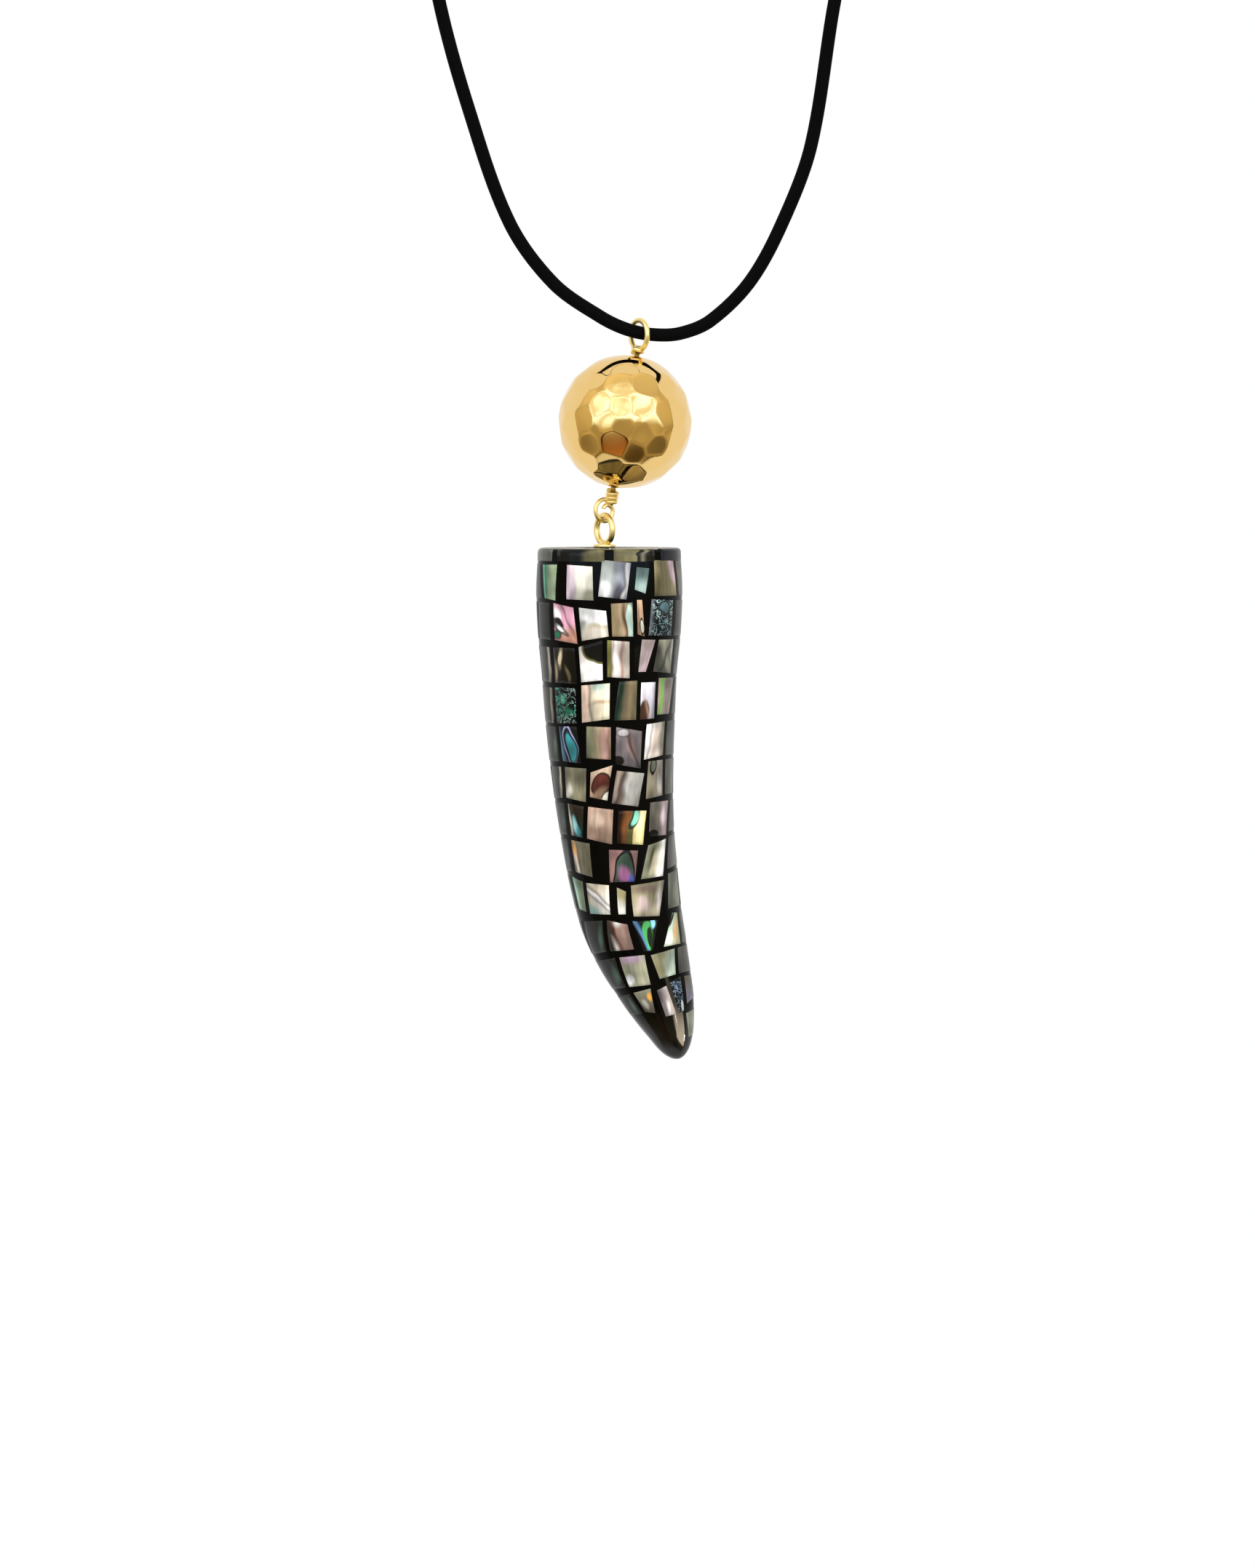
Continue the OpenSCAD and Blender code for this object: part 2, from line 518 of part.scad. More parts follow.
// Black horn with a shallow pocket for each tile and a hole for the eye's pin
module horn_body() {
    deep = shell_t + fit;
    rows = [0:len(MOSAIC) - 1];
    pockets = [for (k = rows, tile = TILES[k])
        each concat(tile_points(k, tile, 0, 0), tile_points(k, tile, 0, deep))];
    bare = [for (k = rows, j = [0:counts[k] - 1], low = [0, 1], n = [1:1:BARE[k][j]])
        bare_point(k, j, low, n)];
    rim = len(pockets) + len(bare);
    tip = rim + rim_sides;
    crown = tip + tip_sides * len(TIP_RINGS);
    points = concat(pockets, bare,
        [for (p = ring_line(0, rim_sides)) horn_point(0, p[0], 0)],
        [for (s = TIP_RINGS, p = ring_line(0, tip_sides)) horn_point(s, p[0], 0)],
        [horn_point(-1, 0, 0), horn_point(1, 0, 0)]);
    linings = [for (k = rows, j = [0:counts[k] - 1])
        let (outer = pocket(k, j), inner = outer + 2 * edge)
        each concat(strip_faces(inner), wall_faces(outer, inner), bare_faces(k, j))];
    lines = concat(
        [row_line(0, 1), ring_line(rim, rim_sides)],
        [for (k = SIDE_ROWS, low = [0, 1]) row_line(k, low)],
        [for (i = [0:len(TIP_RINGS) - 1]) ring_line(tip + i * tip_sides, tip_sides)]);
    bands = concat([0], [for (i = [1:2:2 * len(SIDE_ROWS) + 1]) i],
                   [for (i = [1:len(TIP_RINGS) - 1]) 2 * len(SIDE_ROWS) + 1 + i]);
    skins = [for (i = bands) each skin(lines[i], lines[i + 1])];
    ends = concat(cap(row_line(0, 0), crown, true),
                  cap(lines[len(lines) - 1], crown + 1, false));
    color("black") difference() {
        translate(horn_at) polyhedron(points, concat(linings, skins, ends));
        translate([eye_at[0], eye_at[1], horn_at[2] - pin_len - fit])
            cylinder(d = pin_d + 2 * fit, h = pin_len + 1);
    }
}

module shell_tiles() {
    color("silver") translate(horn_at) tiles(SIDE_ROWS);
}

module crown_tiles() {
    color("gray") translate(horn_at) tiles(CROWN_ROWS);
}

neck_cord();
clasp();
bead_wire();
hammered_bead();
horn_eye();
horn_body();
shell_tiles();
crown_tiles();
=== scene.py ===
import json
import math
import random

import bmesh
import bpy
from bpy.props import FloatProperty, FloatVectorProperty, IntProperty, PointerProperty
from mathutils import Matrix, Vector


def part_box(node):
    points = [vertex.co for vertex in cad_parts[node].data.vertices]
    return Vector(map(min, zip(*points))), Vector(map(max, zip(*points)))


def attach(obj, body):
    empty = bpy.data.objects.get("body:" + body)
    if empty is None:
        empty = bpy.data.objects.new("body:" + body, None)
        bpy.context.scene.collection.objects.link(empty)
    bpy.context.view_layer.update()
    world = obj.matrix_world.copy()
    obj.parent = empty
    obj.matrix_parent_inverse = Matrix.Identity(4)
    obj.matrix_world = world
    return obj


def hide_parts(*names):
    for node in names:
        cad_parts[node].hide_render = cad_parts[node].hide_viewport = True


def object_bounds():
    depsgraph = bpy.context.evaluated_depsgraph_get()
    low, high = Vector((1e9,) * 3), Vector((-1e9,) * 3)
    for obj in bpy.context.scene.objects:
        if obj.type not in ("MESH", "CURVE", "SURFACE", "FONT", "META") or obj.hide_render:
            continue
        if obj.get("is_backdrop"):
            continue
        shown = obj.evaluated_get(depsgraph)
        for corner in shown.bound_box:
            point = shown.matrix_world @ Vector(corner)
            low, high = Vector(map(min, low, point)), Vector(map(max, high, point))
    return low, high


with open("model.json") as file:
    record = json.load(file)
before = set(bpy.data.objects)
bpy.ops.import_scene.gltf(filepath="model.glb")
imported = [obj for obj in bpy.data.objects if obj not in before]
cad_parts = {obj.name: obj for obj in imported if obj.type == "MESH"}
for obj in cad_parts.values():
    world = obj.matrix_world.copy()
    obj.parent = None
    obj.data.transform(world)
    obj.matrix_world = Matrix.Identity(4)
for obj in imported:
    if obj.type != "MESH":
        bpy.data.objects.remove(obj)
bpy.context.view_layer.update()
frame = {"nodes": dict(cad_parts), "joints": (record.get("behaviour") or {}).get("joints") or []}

bl_info = {
    "name": "Horn pendant",
    "version": (1, 0, 0),
    "blender": (4, 5, 0),
    "location": "3D View > Sidebar > Pendant",
    "description": "Dresses the packed horn pendant: cord, gold, black resin and shell mosaic",
    "category": "Object",
}

MM = 0.001
JOINTS = {joint["name"]: joint for joint in frame["joints"]}
BAIL_POINT = Vector(JOINTS["bail_swing"]["pos_m"])
CURL_LOW = Vector(JOINTS["horn_swing"]["pos_m"])
UP = Vector((0, 0, 1))


def points(text):
    """Vectors in metres from points in millimetres."""
    return [Vector([float(value) * MM for value in point.split()]) for point in text.split(",")]


# Cord route: the same points as the cord's solid
SIDE = points("22 -2.5 .5, 36 -11 .5, 48 -24 -2, 56 -40 -8, 60 -57 -19, 59 -73 -34, 56 -87 -52,"
              "51.5 -98 -73, 46.5 -106 -96, 41.5 -112 -119, 37 -116 -141, 33 -118.5 -162")
FRONT = points("29 -120 -180.5, 25.5 -120 -202, 21.5 -120 -213, 16.5 -120 -222.3,"
               "10.5 -120 -228.3, 6 -120 -230.2, 2 -120 -230.4, -2 -120 -229.6,"
               "-6 -120 -227.7, -13 -120 -222.7, -19.5 -120 -213.7, -25.5 -120 -197,"
               "-30 -120 -180.5")

# Horn sections: share of the length down, share of the bend aside, share of the top's radius
HORN = [(0, 0, 1), (0.08, 0, 1.03), (0.16, 0, 1.01), (0.24, 0, 0.955), (0.32, 0.01, 0.92),
        (0.4, 0.03, 0.88), (0.48, 0.065, 0.84), (0.56, 0.12, 0.8), (0.64, 0.2, 0.77),
        (0.72, 0.31, 0.725), (0.79, 0.47, 0.65), (0.85, 0.635, 0.55), (0.9, 0.77, 0.455),
        (0.94, 0.87, 0.35), (0.975, 0.945, 0.235), (1, 1, 0)]


def size_of(name, description, millimetres):
    """A setting that is a length, given in millimetres."""
    return FloatProperty(name=name, description=description, default=millimetres * MM,
                         unit="LENGTH")


def angle_of(name, description, degrees):
    """A setting that is an angle, given in degrees."""
    return FloatProperty(name=name, description=description, default=math.radians(degrees),
                         subtype="ANGLE")


def colour_of(name, description, *colour):
    """A setting that is a colour."""
    return FloatVectorProperty(name=name, description=description, default=colour,
                               subtype="COLOR", size=3)


class CordSettings(bpy.types.PropertyGroup):
    """Sizes and colour of the cord round the neck"""

    width: size_of("Width", "Thickness of the round cord", 2.0)
    colour: colour_of("Colour", "Colour of the dyed leather", 0.0018, 0.0018, 0.002)
    socket: size_of("Socket", "How far its ends go into the clasp", 4.0)


class WireSettings(bpy.types.PropertyGroup):
    """Sizes of the wire through the bead and of the eye on the horn"""

    wire: size_of("Wire", "Thickness of the wire and its bail ring", 0.8)
    wrap: size_of("Wrap wire", "Thickness in the wraps and the curl", 0.65)
    bail: size_of("Bail", "Outer width of the bail ring without its slack", 4.9)
    slack: size_of("Slack", "Play of the bail ring round the cord", 0.15)
    neck: size_of("Neck", "Wire between the bail ring and the bead", 1.0)
    stem: size_of("Stem", "Wire between the wraps and the curl", 0.4)
    curl: size_of("Curl", "Outer width of the curl", 3.9)
    wraps: IntProperty(name="Wraps", description="Turns below the bead", default=3, min=1)
    lean: angle_of("Lean", "Lean of the bead to the left", 10)
    turn: angle_of("Turn", "Turn of the curl away from the front", 34)
    roll: angle_of("Roll", "Where the stem joins the curl, from its top", 48)
    eye: size_of("Eye", "Outer width of the ring on the horn", 5.1)
    eye_wire: size_of("Eye wire", "Thickness of that ring", 0.92)
    collar: size_of("Collar", "Width of the collar under the eye", 3.3)
    pin: size_of("Pin", "Width of the pin in the horn", 1.3)
    gap: size_of("Gap", "Gap between loose pieces", 0.08)
    colour: colour_of("Gold", "Colour of the wire's gold plate", 0.95, 0.76, 0.33)


class BeadSettings(bpy.types.PropertyGroup):
    """Sizes and colour of the hammered bead"""

    width: size_of("Width", "Width over the ridges", 20.0)
    wall: size_of("Wall", "Thickness of the wall", 0.9)
    hole: size_of("Hole", "Width of the hole for the wire", 1.5)
    dent: size_of("Dent", "Width of one hammer mark", 3.6)
    flatness: FloatProperty(name="Flatness", description="1 is flat, less bulges",
                            default=0.8, min=0, max=2)
    soft: size_of("Soft", "Rounding of the ridges between the marks", 0.012)
    colour: colour_of("Gold", "Colour of the bead's gold plate", 0.87, 0.60, 0.23)


class HornSettings(bpy.types.PropertyGroup):
    """Sizes of the horn and its shell"""

    length: size_of("Length", "Height from the flat top to the tip", 76.4)
    top: size_of("Top", "Width of the flat top", 21.2)
    bend: size_of("Bend", "How far the tip lies to the right", 10.5)
    shell: size_of("Shell", "Thickness of the shell tiles", 0.8)
    proud: size_of("Proud", "How far shell stands above the resin", 0.03)
    rim: size_of("Rim", "Rounding of the edge of the flat top", 0.5)
    lap: size_of("Lap", "How far crown shell goes down the side", 1.0)
    eye_left: size_of("Eye left", "Left of the top's middle", 0.7)
    eye_front: size_of("Eye front", "In front of the top's middle", 1.05)


class StageSettings(bpy.types.PropertyGroup):
    """Camera, light and floor"""

    distance: size_of("Distance", "From the camera to the pendant", 1600)
    height: size_of("View height", "Height of the picture", 234.35)
    above: angle_of("Above", "How far the camera looks down", 2.4)
    aside: size_of("Aside", "From the lamps to the pendant", 800)
    floor: size_of("Floor", "Depth of the floor below the horn", 450)


def srgb(code):
    """Linear colour with alpha from a hex code."""
    parts = [int(code[i:i + 2], 16) / 255 for i in (0, 2, 4)]
    return [p / 12.92 if p <= 0.04045 else ((p + 0.055) / 1.055) ** 2.4 for p in parts] + [1.0]


class Nodes:
    """Builds a tree of shader nodes. Inputs are values or other nodes' outputs."""

    def __init__(self, tree):
        self.tree = tree

    def add(self, kind, fed=None, **settings):
        """Adds a node with its settings and inputs, and gives its outputs."""
        made = self.tree.nodes.new("ShaderNode" + kind)
        for name, value in settings.items():
            setattr(made, name, value)
        self.feed(made, fed or {})
        return made.outputs

    def feed(self, made, fed):
        for place, value in fed.items():
            if isinstance(value, bpy.types.NodeSocket):
                self.tree.links.new(value, made.inputs[place])
            else:
                made.inputs[place].default_value = value

    def noise(self, place, scale, detail, twist=0.0):
        return self.add("TexNoise", {"Vector": place, "Scale": scale, "Detail": detail,
                                     "Distortion": twist})

    def even(self, value, low, high, to_low=0.0, to_high=1.0, kind="LINEAR"):
        """Maps a value from one range to another, evenly."""
        return self.add("MapRange", {"Value": value, "From Min": low, "From Max": high,
                                     "To Min": to_low, "To Max": to_high},
                        interpolation_type=kind)[0]

    def ramp(self, *ranges):
        """Maps a value from one range to another, with soft ends."""
        return self.even(*ranges, kind="SMOOTHSTEP")

    def mixed(self, share, a, b):
        return self.add("Mix", {0: share, 6: a, 7: b}, data_type="RGBA")[2]

    def number(self, operation, a, b=0.0):
        return self.add("Math", {0: a, 1: b}, operation=operation)[0]

    def vector(self, operation, *fed):
        """A vector, or a number for dot products and lengths."""
        slots = [0, "Scale"] if operation == "SCALE" else [0, 1, 2]
        outputs = self.add("VectorMath", dict(zip(slots, fed)), operation=operation)
        return outputs[1 if operation in ("DOT_PRODUCT", "LENGTH") else 0]

    def bump(self, height, strength, deep):
        """Bumps so many millimetres deep."""
        return self.add("Bump", {"Height": height, "Strength": strength,
                                 "Distance": deep * MM})[0]

    def position(self):
        """Object position in millimetres, so that noise scales are marks a millimetre."""
        return self.vector("SCALE", self.add("TexCoord")["Object"], 1 / MM)


def new_material(name):
    """A material with the nodes of its tree and its main shader."""
    material = bpy.data.materials.new(name)
    material.use_nodes = True
    tree = material.node_tree
    return material, Nodes(tree), tree.nodes["Principled BSDF"]


def gold_plate(name, colour, rough_low, rough_high):
    """Polished gold plate over brass: mirror bright, with faint buffing marks."""
    material, nodes, shader = new_material(name)
    place = nodes.position()
    cloud = nodes.noise(place, 0.35, 3)["Fac"]
    buffing = nodes.noise(place, 9.0, 2)["Fac"]
    # Plate is a little redder where it is thin
    redder = (colour[0], colour[1] * 0.9, colour[2] * 0.75, 1)
    tint = nodes.mixed(nodes.even(cloud, 0.4, 0.75, 0.0, 0.35), (*colour, 1), redder)
    nodes.feed(shader, {"Base Color": tint, "Metallic": 1.0,
                        "Roughness": nodes.even(cloud, 0.35, 0.7, rough_low, rough_high),
                        "Normal": nodes.bump(buffing, 0.03, 0.01)})
    return material


def black_leather(colour):
    """Dyed round leather lace: matt and very dark, with a fine grain."""
    material, nodes, shader = new_material("black_leather_lace")
    place = nodes.position()
    grain = nodes.add("TexVoronoi", {"Vector": place, "Scale": 3.2})["Distance"]
    fibre = nodes.noise(place, 6.0, 4)["Fac"]
    tone = nodes.mixed(nodes.even(fibre, 0.6, 0.8), (*colour, 1), srgb("111112"))
    height = nodes.number("ADD", grain, fibre)
    nodes.feed(shader, {"Base Color": tone, "Specular IOR Level": 0.03,
                        "Roughness": nodes.even(fibre, 0.3, 0.7, 0.6, 0.85),
                        "Normal": nodes.bump(height, 0.5, 0.06)})
    return material


def black_resin():
    """Cast black resin: sanded dull in the narrow joints, buffed to a clear shine at the tip."""
    material, nodes, shader = new_material("polished_black_resin")
    place = nodes.position()
    haze = nodes.noise(place, 0.5, 3)["Fac"]
    dust = nodes.even(nodes.noise(place, 4.0, 2)["Fac"], 0.62, 0.8)
    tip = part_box("horn_body")[0].z / MM
    height = nodes.add("SeparateXYZ", {0: place})[2]
    nodes.feed(shader, {"Base Color": nodes.mixed(dust, srgb("040404"), srgb("0e0d0c")),
                        "Roughness": nodes.even(haze, 0.35, 0.75, 0.06, 0.16),
                        "Specular IOR Level": nodes.ramp(height, tip + 9, tip + 3, 0.05, 0.4),
                        "Normal": nodes.bump(haze, 0.1, 0.02)})
    return material


def finish_piece(name, bm, body, material, nodes):
    """Turns a bmesh into a piece that rides on a body and stands for CAD nodes."""
    mesh = bpy.data.meshes.new(name)
    bm.to_mesh(mesh)
    bm.free()
    mesh.materials.append(material)
    piece = bpy.data.objects.new(name, mesh)
    bpy.context.scene.collection.objects.link(piece)
    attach(piece, body)
    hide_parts(*nodes)
    return piece


def between(table, x, column):
    """A column of a table at x, smoothly between its rows."""
    last = len(table) - 1
    i = max(k for k in range(last) if k == 0 or table[k][0] <= x)
    step = table[i + 1][0] - table[i][0]

    def slope(k):
        a, b = table[max(k - 1, 0)], table[min(k + 1, last)]
        return (b[column] - a[column]) / (b[0] - a[0])

    u = (x - table[i][0]) / step
    return ((2 * u ** 3 - 3 * u ** 2 + 1) * table[i][column]
            + (u ** 3 - 2 * u ** 2 + u) * slope(i) * step
            + (3 * u ** 2 - 2 * u ** 3) * table[i + 1][column]
            + (u ** 3 - u ** 2) * slope(i + 1) * step)


class HornSurface:
    """The horn's polished surface, with places given as a share down and an angle."""

    squares = [(s, aside, r * r) for s, aside, r in HORN]

    def __init__(self, sizes):
        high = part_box("horn_body")[1]
        self.length, self.bend = sizes.length, sizes.bend
        self.radius = sizes.top / 2
        self.rim = sizes.rim
        # The tip leans right, so the flat top's middle is found from the eye's place
        self.top = Vector((CURL_LOW.x + sizes.eye_left, CURL_LOW.y + sizes.eye_front, high.z))

    def axis(self, s):
        return Vector((self.bend * between(HORN, s, 1), 0, -self.length * s))

    def width(self, s):
        return self.radius * math.sqrt(max(0.0, between(self.squares, s, 2)))

    def side(self, s):
        if s < 0.02:
            return Vector((1, 0, 0))
        along = (self.axis(min(s + 0.01, 1)) - self.axis(max(s - 0.01, 0))).normalized()
        return Vector((-along.z, 0, along.x))

    def point(self, s, angle, depth=0.0):
        """Point at share s down and an angle from the front, some depth under the surface.
        A negative share lies on the flat top, where -1 is its middle. The edge between the
        top and the side is rounded."""
        past = s * (self.length if s > 0 else self.radius)
        if abs(past) < self.rim:
            turn = math.pi / 4 * (1 + past / self.rim)
            inner = self.rim - depth
            reach = self.width(max(s, 0)) - self.rim + inner * math.sin(turn)
            down = self.rim - inner * math.cos(turn)
            return self.top + Vector((reach * math.sin(angle), -reach * math.cos(angle), -down))
        if s <= 0:
            reach = (1 + s) * self.radius
            return self.top + Vector((reach * math.sin(angle), -reach * math.cos(angle), -depth))
        out = math.sin(angle) * self.side(s) - math.cos(angle) * Vector((0, 1, 0))
        return self.top + self.axis(s) + (self.width(s) - depth) * out

    def locate(self, place):
        """Share, angle and depth of a point."""
        off = place - self.top
        if off.z > -1.2 * MM:
            reach = math.hypot(off.x, off.y)
            return reach / self.radius - 1, math.atan2(off.x, -off.y), -off.z
        s = -off.z / self.length
        for _ in range(25):
            side = self.side(s)
            along = Vector((side.z, 0, -side.x))
            s += (off - self.axis(s)).dot(along) / self.length
            s = min(max(s, 0.001), 0.999)
        away = off - self.axis(s)
        reach = math.hypot(away.dot(self.side(s)), away.y)
        return s, math.atan2(away.dot(self.side(s)), -away.y), self.width(s) - reach


# Shell cuts. Each has a line with two colours, base and shade, and below it a line for each
# mark. Lean turns the change between the colours away from left to right, in degrees, change
# is where it lies and soft how slowly it happens. Lace is a net of thin bright lines, and
# laced how strong it is. A mark is an oval patch: colour, place across and down, half width,
# half height, tilt in degrees and strength of the dark line round it. The last two may be
# left out, and without a line the edge is soft. Places and sizes are shares of the half
# tile, so a mark 4 high is a stripe.
def read_cuts(text):
    cuts = []
    for line in text.strip("\n").split("\n"):
        hue, *rest = line.split()
        if line.startswith(" "):
            cuts[-1]["marks"].append((hue, *map(float, rest), 0, 0)[:7])
            continue
        look = dict(base=hue, shade=rest[0], lean=0, change=0, soft=0.6, lace="000000", laced=0)
        for name, value in zip(rest[1::2], rest[2::2]):
            look[name] = value if name == "lace" else float(value)
        cuts.append({**look, "marks": []})
    return cuts


# Cuts of the front tiles from left to right, one row after another down the horn, each
# row with the angle in degrees where its first tile starts
CHART = """
-68
6c8a70 8a9a78
  59c49c -.9 0 .28 4 0 .9
cbb9c1 dedbca change -.35 soft .12
  a3a38b .7 .8 .6 .5
b2b7b2 9093a0 change .1
  f6f6f2 -.7 .7 .5 .6 -30
  565762 .5 .9 .35 .7 -20
  141318 .72 0 .07 4
  ece9df .87 0 .06 .9
667d78 b3cdc4 lean 80 change .2
7f7556 a0966f
  d6b9bd .8 -.5 .45 .9 -10
  645b3d -.9 .6 .3 .8

-53
d49cb0 b58370 lean 70 change .4 soft .4
  f2ece8 -.75 -.35 .5 .3 30
  1f1618 -.6 .06 .6 .2 12 .01
  f4f6ee -.4 .36 .6 .16 22 .8
  2c6a50 -.7 .66 .36 .22 10 .6
  20161a .35 -.2 .05 1 -35
f4f3f0 d6cdbd lean 95 change .2 soft .5
  c3b79e .1 .2 1.1 .2
  85897f -.85 -.2 .3 .6 30
  fdfcfa .1 -.5 .9 .3
7b6c50 b29a7c change -.2 soft .4
  c2d8c8 .72 .25 .42 1.4 0 .5
  4f2f18 .2 0 .15 1.3 -8
  1d1712 .55 -.95 .7 .1 20
d3ab8c bd9a7e
  f4f2d8 .3 .5 .6 .42 0 1
  14110e -.6 .1 .14 1 10
1c262d 0a1013 change -.6 soft .2 laced .8 lace 7fa3a6
  656a71 -.85 0 .14 4
  4d6a70 .15 -.5 .5 .28 0 .8

-56
17120c 0b0907 change .2 soft .3
  c9b999 -.35 -.3 .2 .6 15 .7
  a08c6a -.75 .5 .12 .7 0 .5
  6b5f45 .2 .5 .22 .5 -20 .6
f3ede6 fbf8f2
  d6ccc6 -.7 -.5 .35 .5
  6f6a3c .95 -1 1.75 1.18 0 .01
  0e0c0b .95 -1 1.6 1.02 0 .3
e6d5cc dfd1c1
  75723e -.92 0 .3 4 0 .01
  b38a7f .28 0 .13 4 3
  4f3c2c -.55 0 .06 4 3
  f4f0e8 -.2 .1 .22 1.2
9c8e8b d6bcc1 lean 50 change .1
94917d 45453d lean 140 change .2 soft .35
  f3f1ec .95 -.5 .16 .4
  171512 .05 0 .07 1.3 25

-57
0a1511 070c0a laced .9 lace 45a58b
  74c9ac -.2 -.35 .25 .18 30
  2f7d5f .3 .5 .35 .25 -20
e6cab4 e3dbbe change -.4 soft .15
  c6dccb .2 -.75 .5 .22
  b08069 .45 .05 .6 .08 -8
  f2e3c4 .3 .6 .6 .35
  3a3520 -.4 0 .05 1.3 -9
2b4636 b09875 change -.15
  807a57 .9 0 .25 4
  1a271f -.9 .2 .2 1.5 8
dcd6e0 a29ca8 lean 10 change .5 soft .4
  4f3526 -.7 .8 .85 .6 -45 .3
  c9a48c -.1 .65 .1 .7 -30
a39290 887b72
  84b65a -.62 0 .28 4 0 .01
  b9a08a -.95 0 .1 4

-55
0a1413 0b0d0e
  4a7a92 -.95 -.1 .14 1.1 -10
  9c9cc8 .1 .02 .72 1.06 -12 .01
  0d1817 .12 .06 .63 .97 -12 .01
  38898f .2 .16 .5 .84 -12 .7
76765c b5987f change -.1 soft .5
  d0a497 .55 .1 .3 1.2 4
  8a6a5b .95 .1 .15 1.2
  5a5f4b -.9 .6 .3 .8
8a7f81 665e5f lean 100
  a98a84 .2 -.1 .35 .6 -30
  120f0d -.85 .85 .5 .35 0 .01
  100d0e .3 .1 .07 1 -35
  b9b4b3 -.5 -.7 .4 .25 0 .5
e3dad0 837b5f change .55 soft .3
  3a2c20 -.62 0 .05 4 6
  f5f2ec -.85 -.1 .16 1 6
  d6c2b0 0 .1 .3 1 6

-55
726e5a 8c876d lean 80
  cfccc0 -.7 .6 .3 .4 20
b09983 a1886f lean 90
  54251d .1 .1 .95 .75 -25 .9
  a5866a -.1 .75 .8 .3 -32
  f0ead8 .8 .95 .5 .38 -45 .6
6e6056 b0ada4 change -.25 soft .2
  211913 -.55 0 .05 4 6
  97877a -.8 0 .12 4 6
  d9d6ce .3 -.1 .45 .6
8b826e a0978a
  63675b -.45 -.7 .34 .55 0 1
  c6c1b4 .5 .3 .3 .5

-58
281f14 1a2823 lean 90 change -.2
  d9d2b8 -.85 -.1 .1 .8 -10
  8fc0c4 -.15 .35 .35 .45 -15
  3a7f86 .25 .6 .35 .3 -15
  120f0c .1 -.3 .08 .9 -35
b09380 a38774 lean 90
  c2a995 -.3 -.2 .6 .5
221107 774723 change -.7 soft .25
  6b663a -.05 .2 .22 4 4
  dfd190 .62 .1 .42 4 4 .01
  7ec9b0 .15 -.45 .28 .6 18 .9
  f1ebc4 .6 -.2 .12 .8
6a655a cbb1b2 change .1 soft .4
  0c0b0b -.65 .95 .5 .4 0 .01
  ecd7dc .35 -.1 .3 .5
4f4f4a 3a3a37

-63
777060 625c4a
  c98a3e -.75 -.3 .14 .5 -5
  f1ebda -.7 .55 .12 .45 -8
  453f30 -.45 0 .06 1.2 -6
8f6b66 9c7872
  3f5346 .15 .75 .82 1.65 0 1
  9a6088 .1 .55 .5 .5
  4c58a4 .65 .85 .28 .3
898a6f f1eee2 change .3 soft .35
  46371a -.35 -.3 .14 .4 8
  d9cfae 0 .3 .25 .6 8
504f4a 5f5f59

-82
8ab39c 6b725b
  c9dbc6 -.7 .3 .2 .7
ccc0aa e3ddd2 lean 60
  f8f6f2 -.1 0 1.6 .16 35 .01
  544c42 -.1 -.28 1.6 .05 35
  67625e .1 .32 1.6 .06 35
  97bdb1 -.7 .8 .9 .28 20
9f966e f2efe3 lean 90 change .1 soft .5
98906f b0a68c lean 90
  f3eee6 .85 0 .16 .7 -10
  877566 -.2 -.6 .6 .3
  cbb6ae -.4 .3 .4 .4
6a6b5e 747463

-37
2c271f 907569 change -.35 soft .12
  b9b4ac -.1 -.8 .3 .2
  58291f -.3 .2 .06 .9 -15
  f1e8de -.45 .8 .08 .3 -15
0d1013 0f120e
  4fae5c .2 .1 .62 1.05 -8 .8
  1c2a1b .45 .2 .35 .7 -8 .01
  8fd0ea .6 -.8 .25 .4 -20 .5
  7fb4dc -.5 0 .08 1.4 -25
  3f6ca8 -.3 .3 .05 1 -25
bccfb8 a5a47f
  d99a58 .3 .1 .25 .6 12
  f2f2e4 -.5 .6 .4 .4 10
  28231a -.75 -.6 .3 .6 20 .01

-38
97977f a09e85
  c9a9c0 -.1 -.75 .8 .3
  efeeed -.65 .6 .45 .4 -20
868162 b1c2ac lean 20
  d8e3d5 .5 .4 .2 .7 25
504e47 3d3c37

-40
75735f 675c52 lean 90
  e0a33f .7 -.35 .28 .25
  a5a494 -.3 .3 .4 .4
867b7d cdbdb6
  f1ebe4 .1 .45 .3 .45 20
  635a5e -.8 -.5 .3 .5
0e1115 13171c laced .7 lace 8fa6c0
  e6eeea .35 .75 .4 .4 20 .01
5a5344 787180 lean 90

-152
4a453c 5a5448
979a87 a6aa95
"""

# Cuts for the sides, which are painted dark as painted shade where the horn turns away from the
# light, three for the left one and three for the right one
SHADED_SIDE_CUTS = read_cuts("""
262623 1a1a19
3a3832 22211e
  cfc8b4 .75 0 .1 1
1d1f1e 2a2b28
  4f665a .6 .2 .2 .6 10
5a594f 66655b
3c3c37 55544c
4c4f4a 3a3c38
""")

# Cuts for the back
PLAIN = read_cuts("""
726e5a 8c876d lean 80
a3927a cfc4ae change .2
  f3eee4 .5 -.3 .4 .5 10
b99996 d0c4b0 lean 20 change -.1 soft .3
8a9c8b b9c1b0 lean 60
  e4e8e0 -.5 .4 .4 .5
67645a 958d78
  211b14 -.3 0 .05 4 6
  8b6a4c .3 0 .15 4 4
dcd6c8 a8a28c lean 75 change .3 soft .4
111b18 171d1a laced .8 lace 49a58d
857460 b5ab98 change .1 soft .2
  59381f 0 0 .09 4 -6
b08f9c 877a72 lean 30
  2f6f6d .2 .3 .5 .7 25 1
5c584c 79725f lean 10
cdc6bb efe9df lean 100 soft .5
  8d8f84 -.8 -.3 .3 .6 20
94806a 6a5c4b change .3
  15110d .95 -1 1.3 .9 0 .3
""")
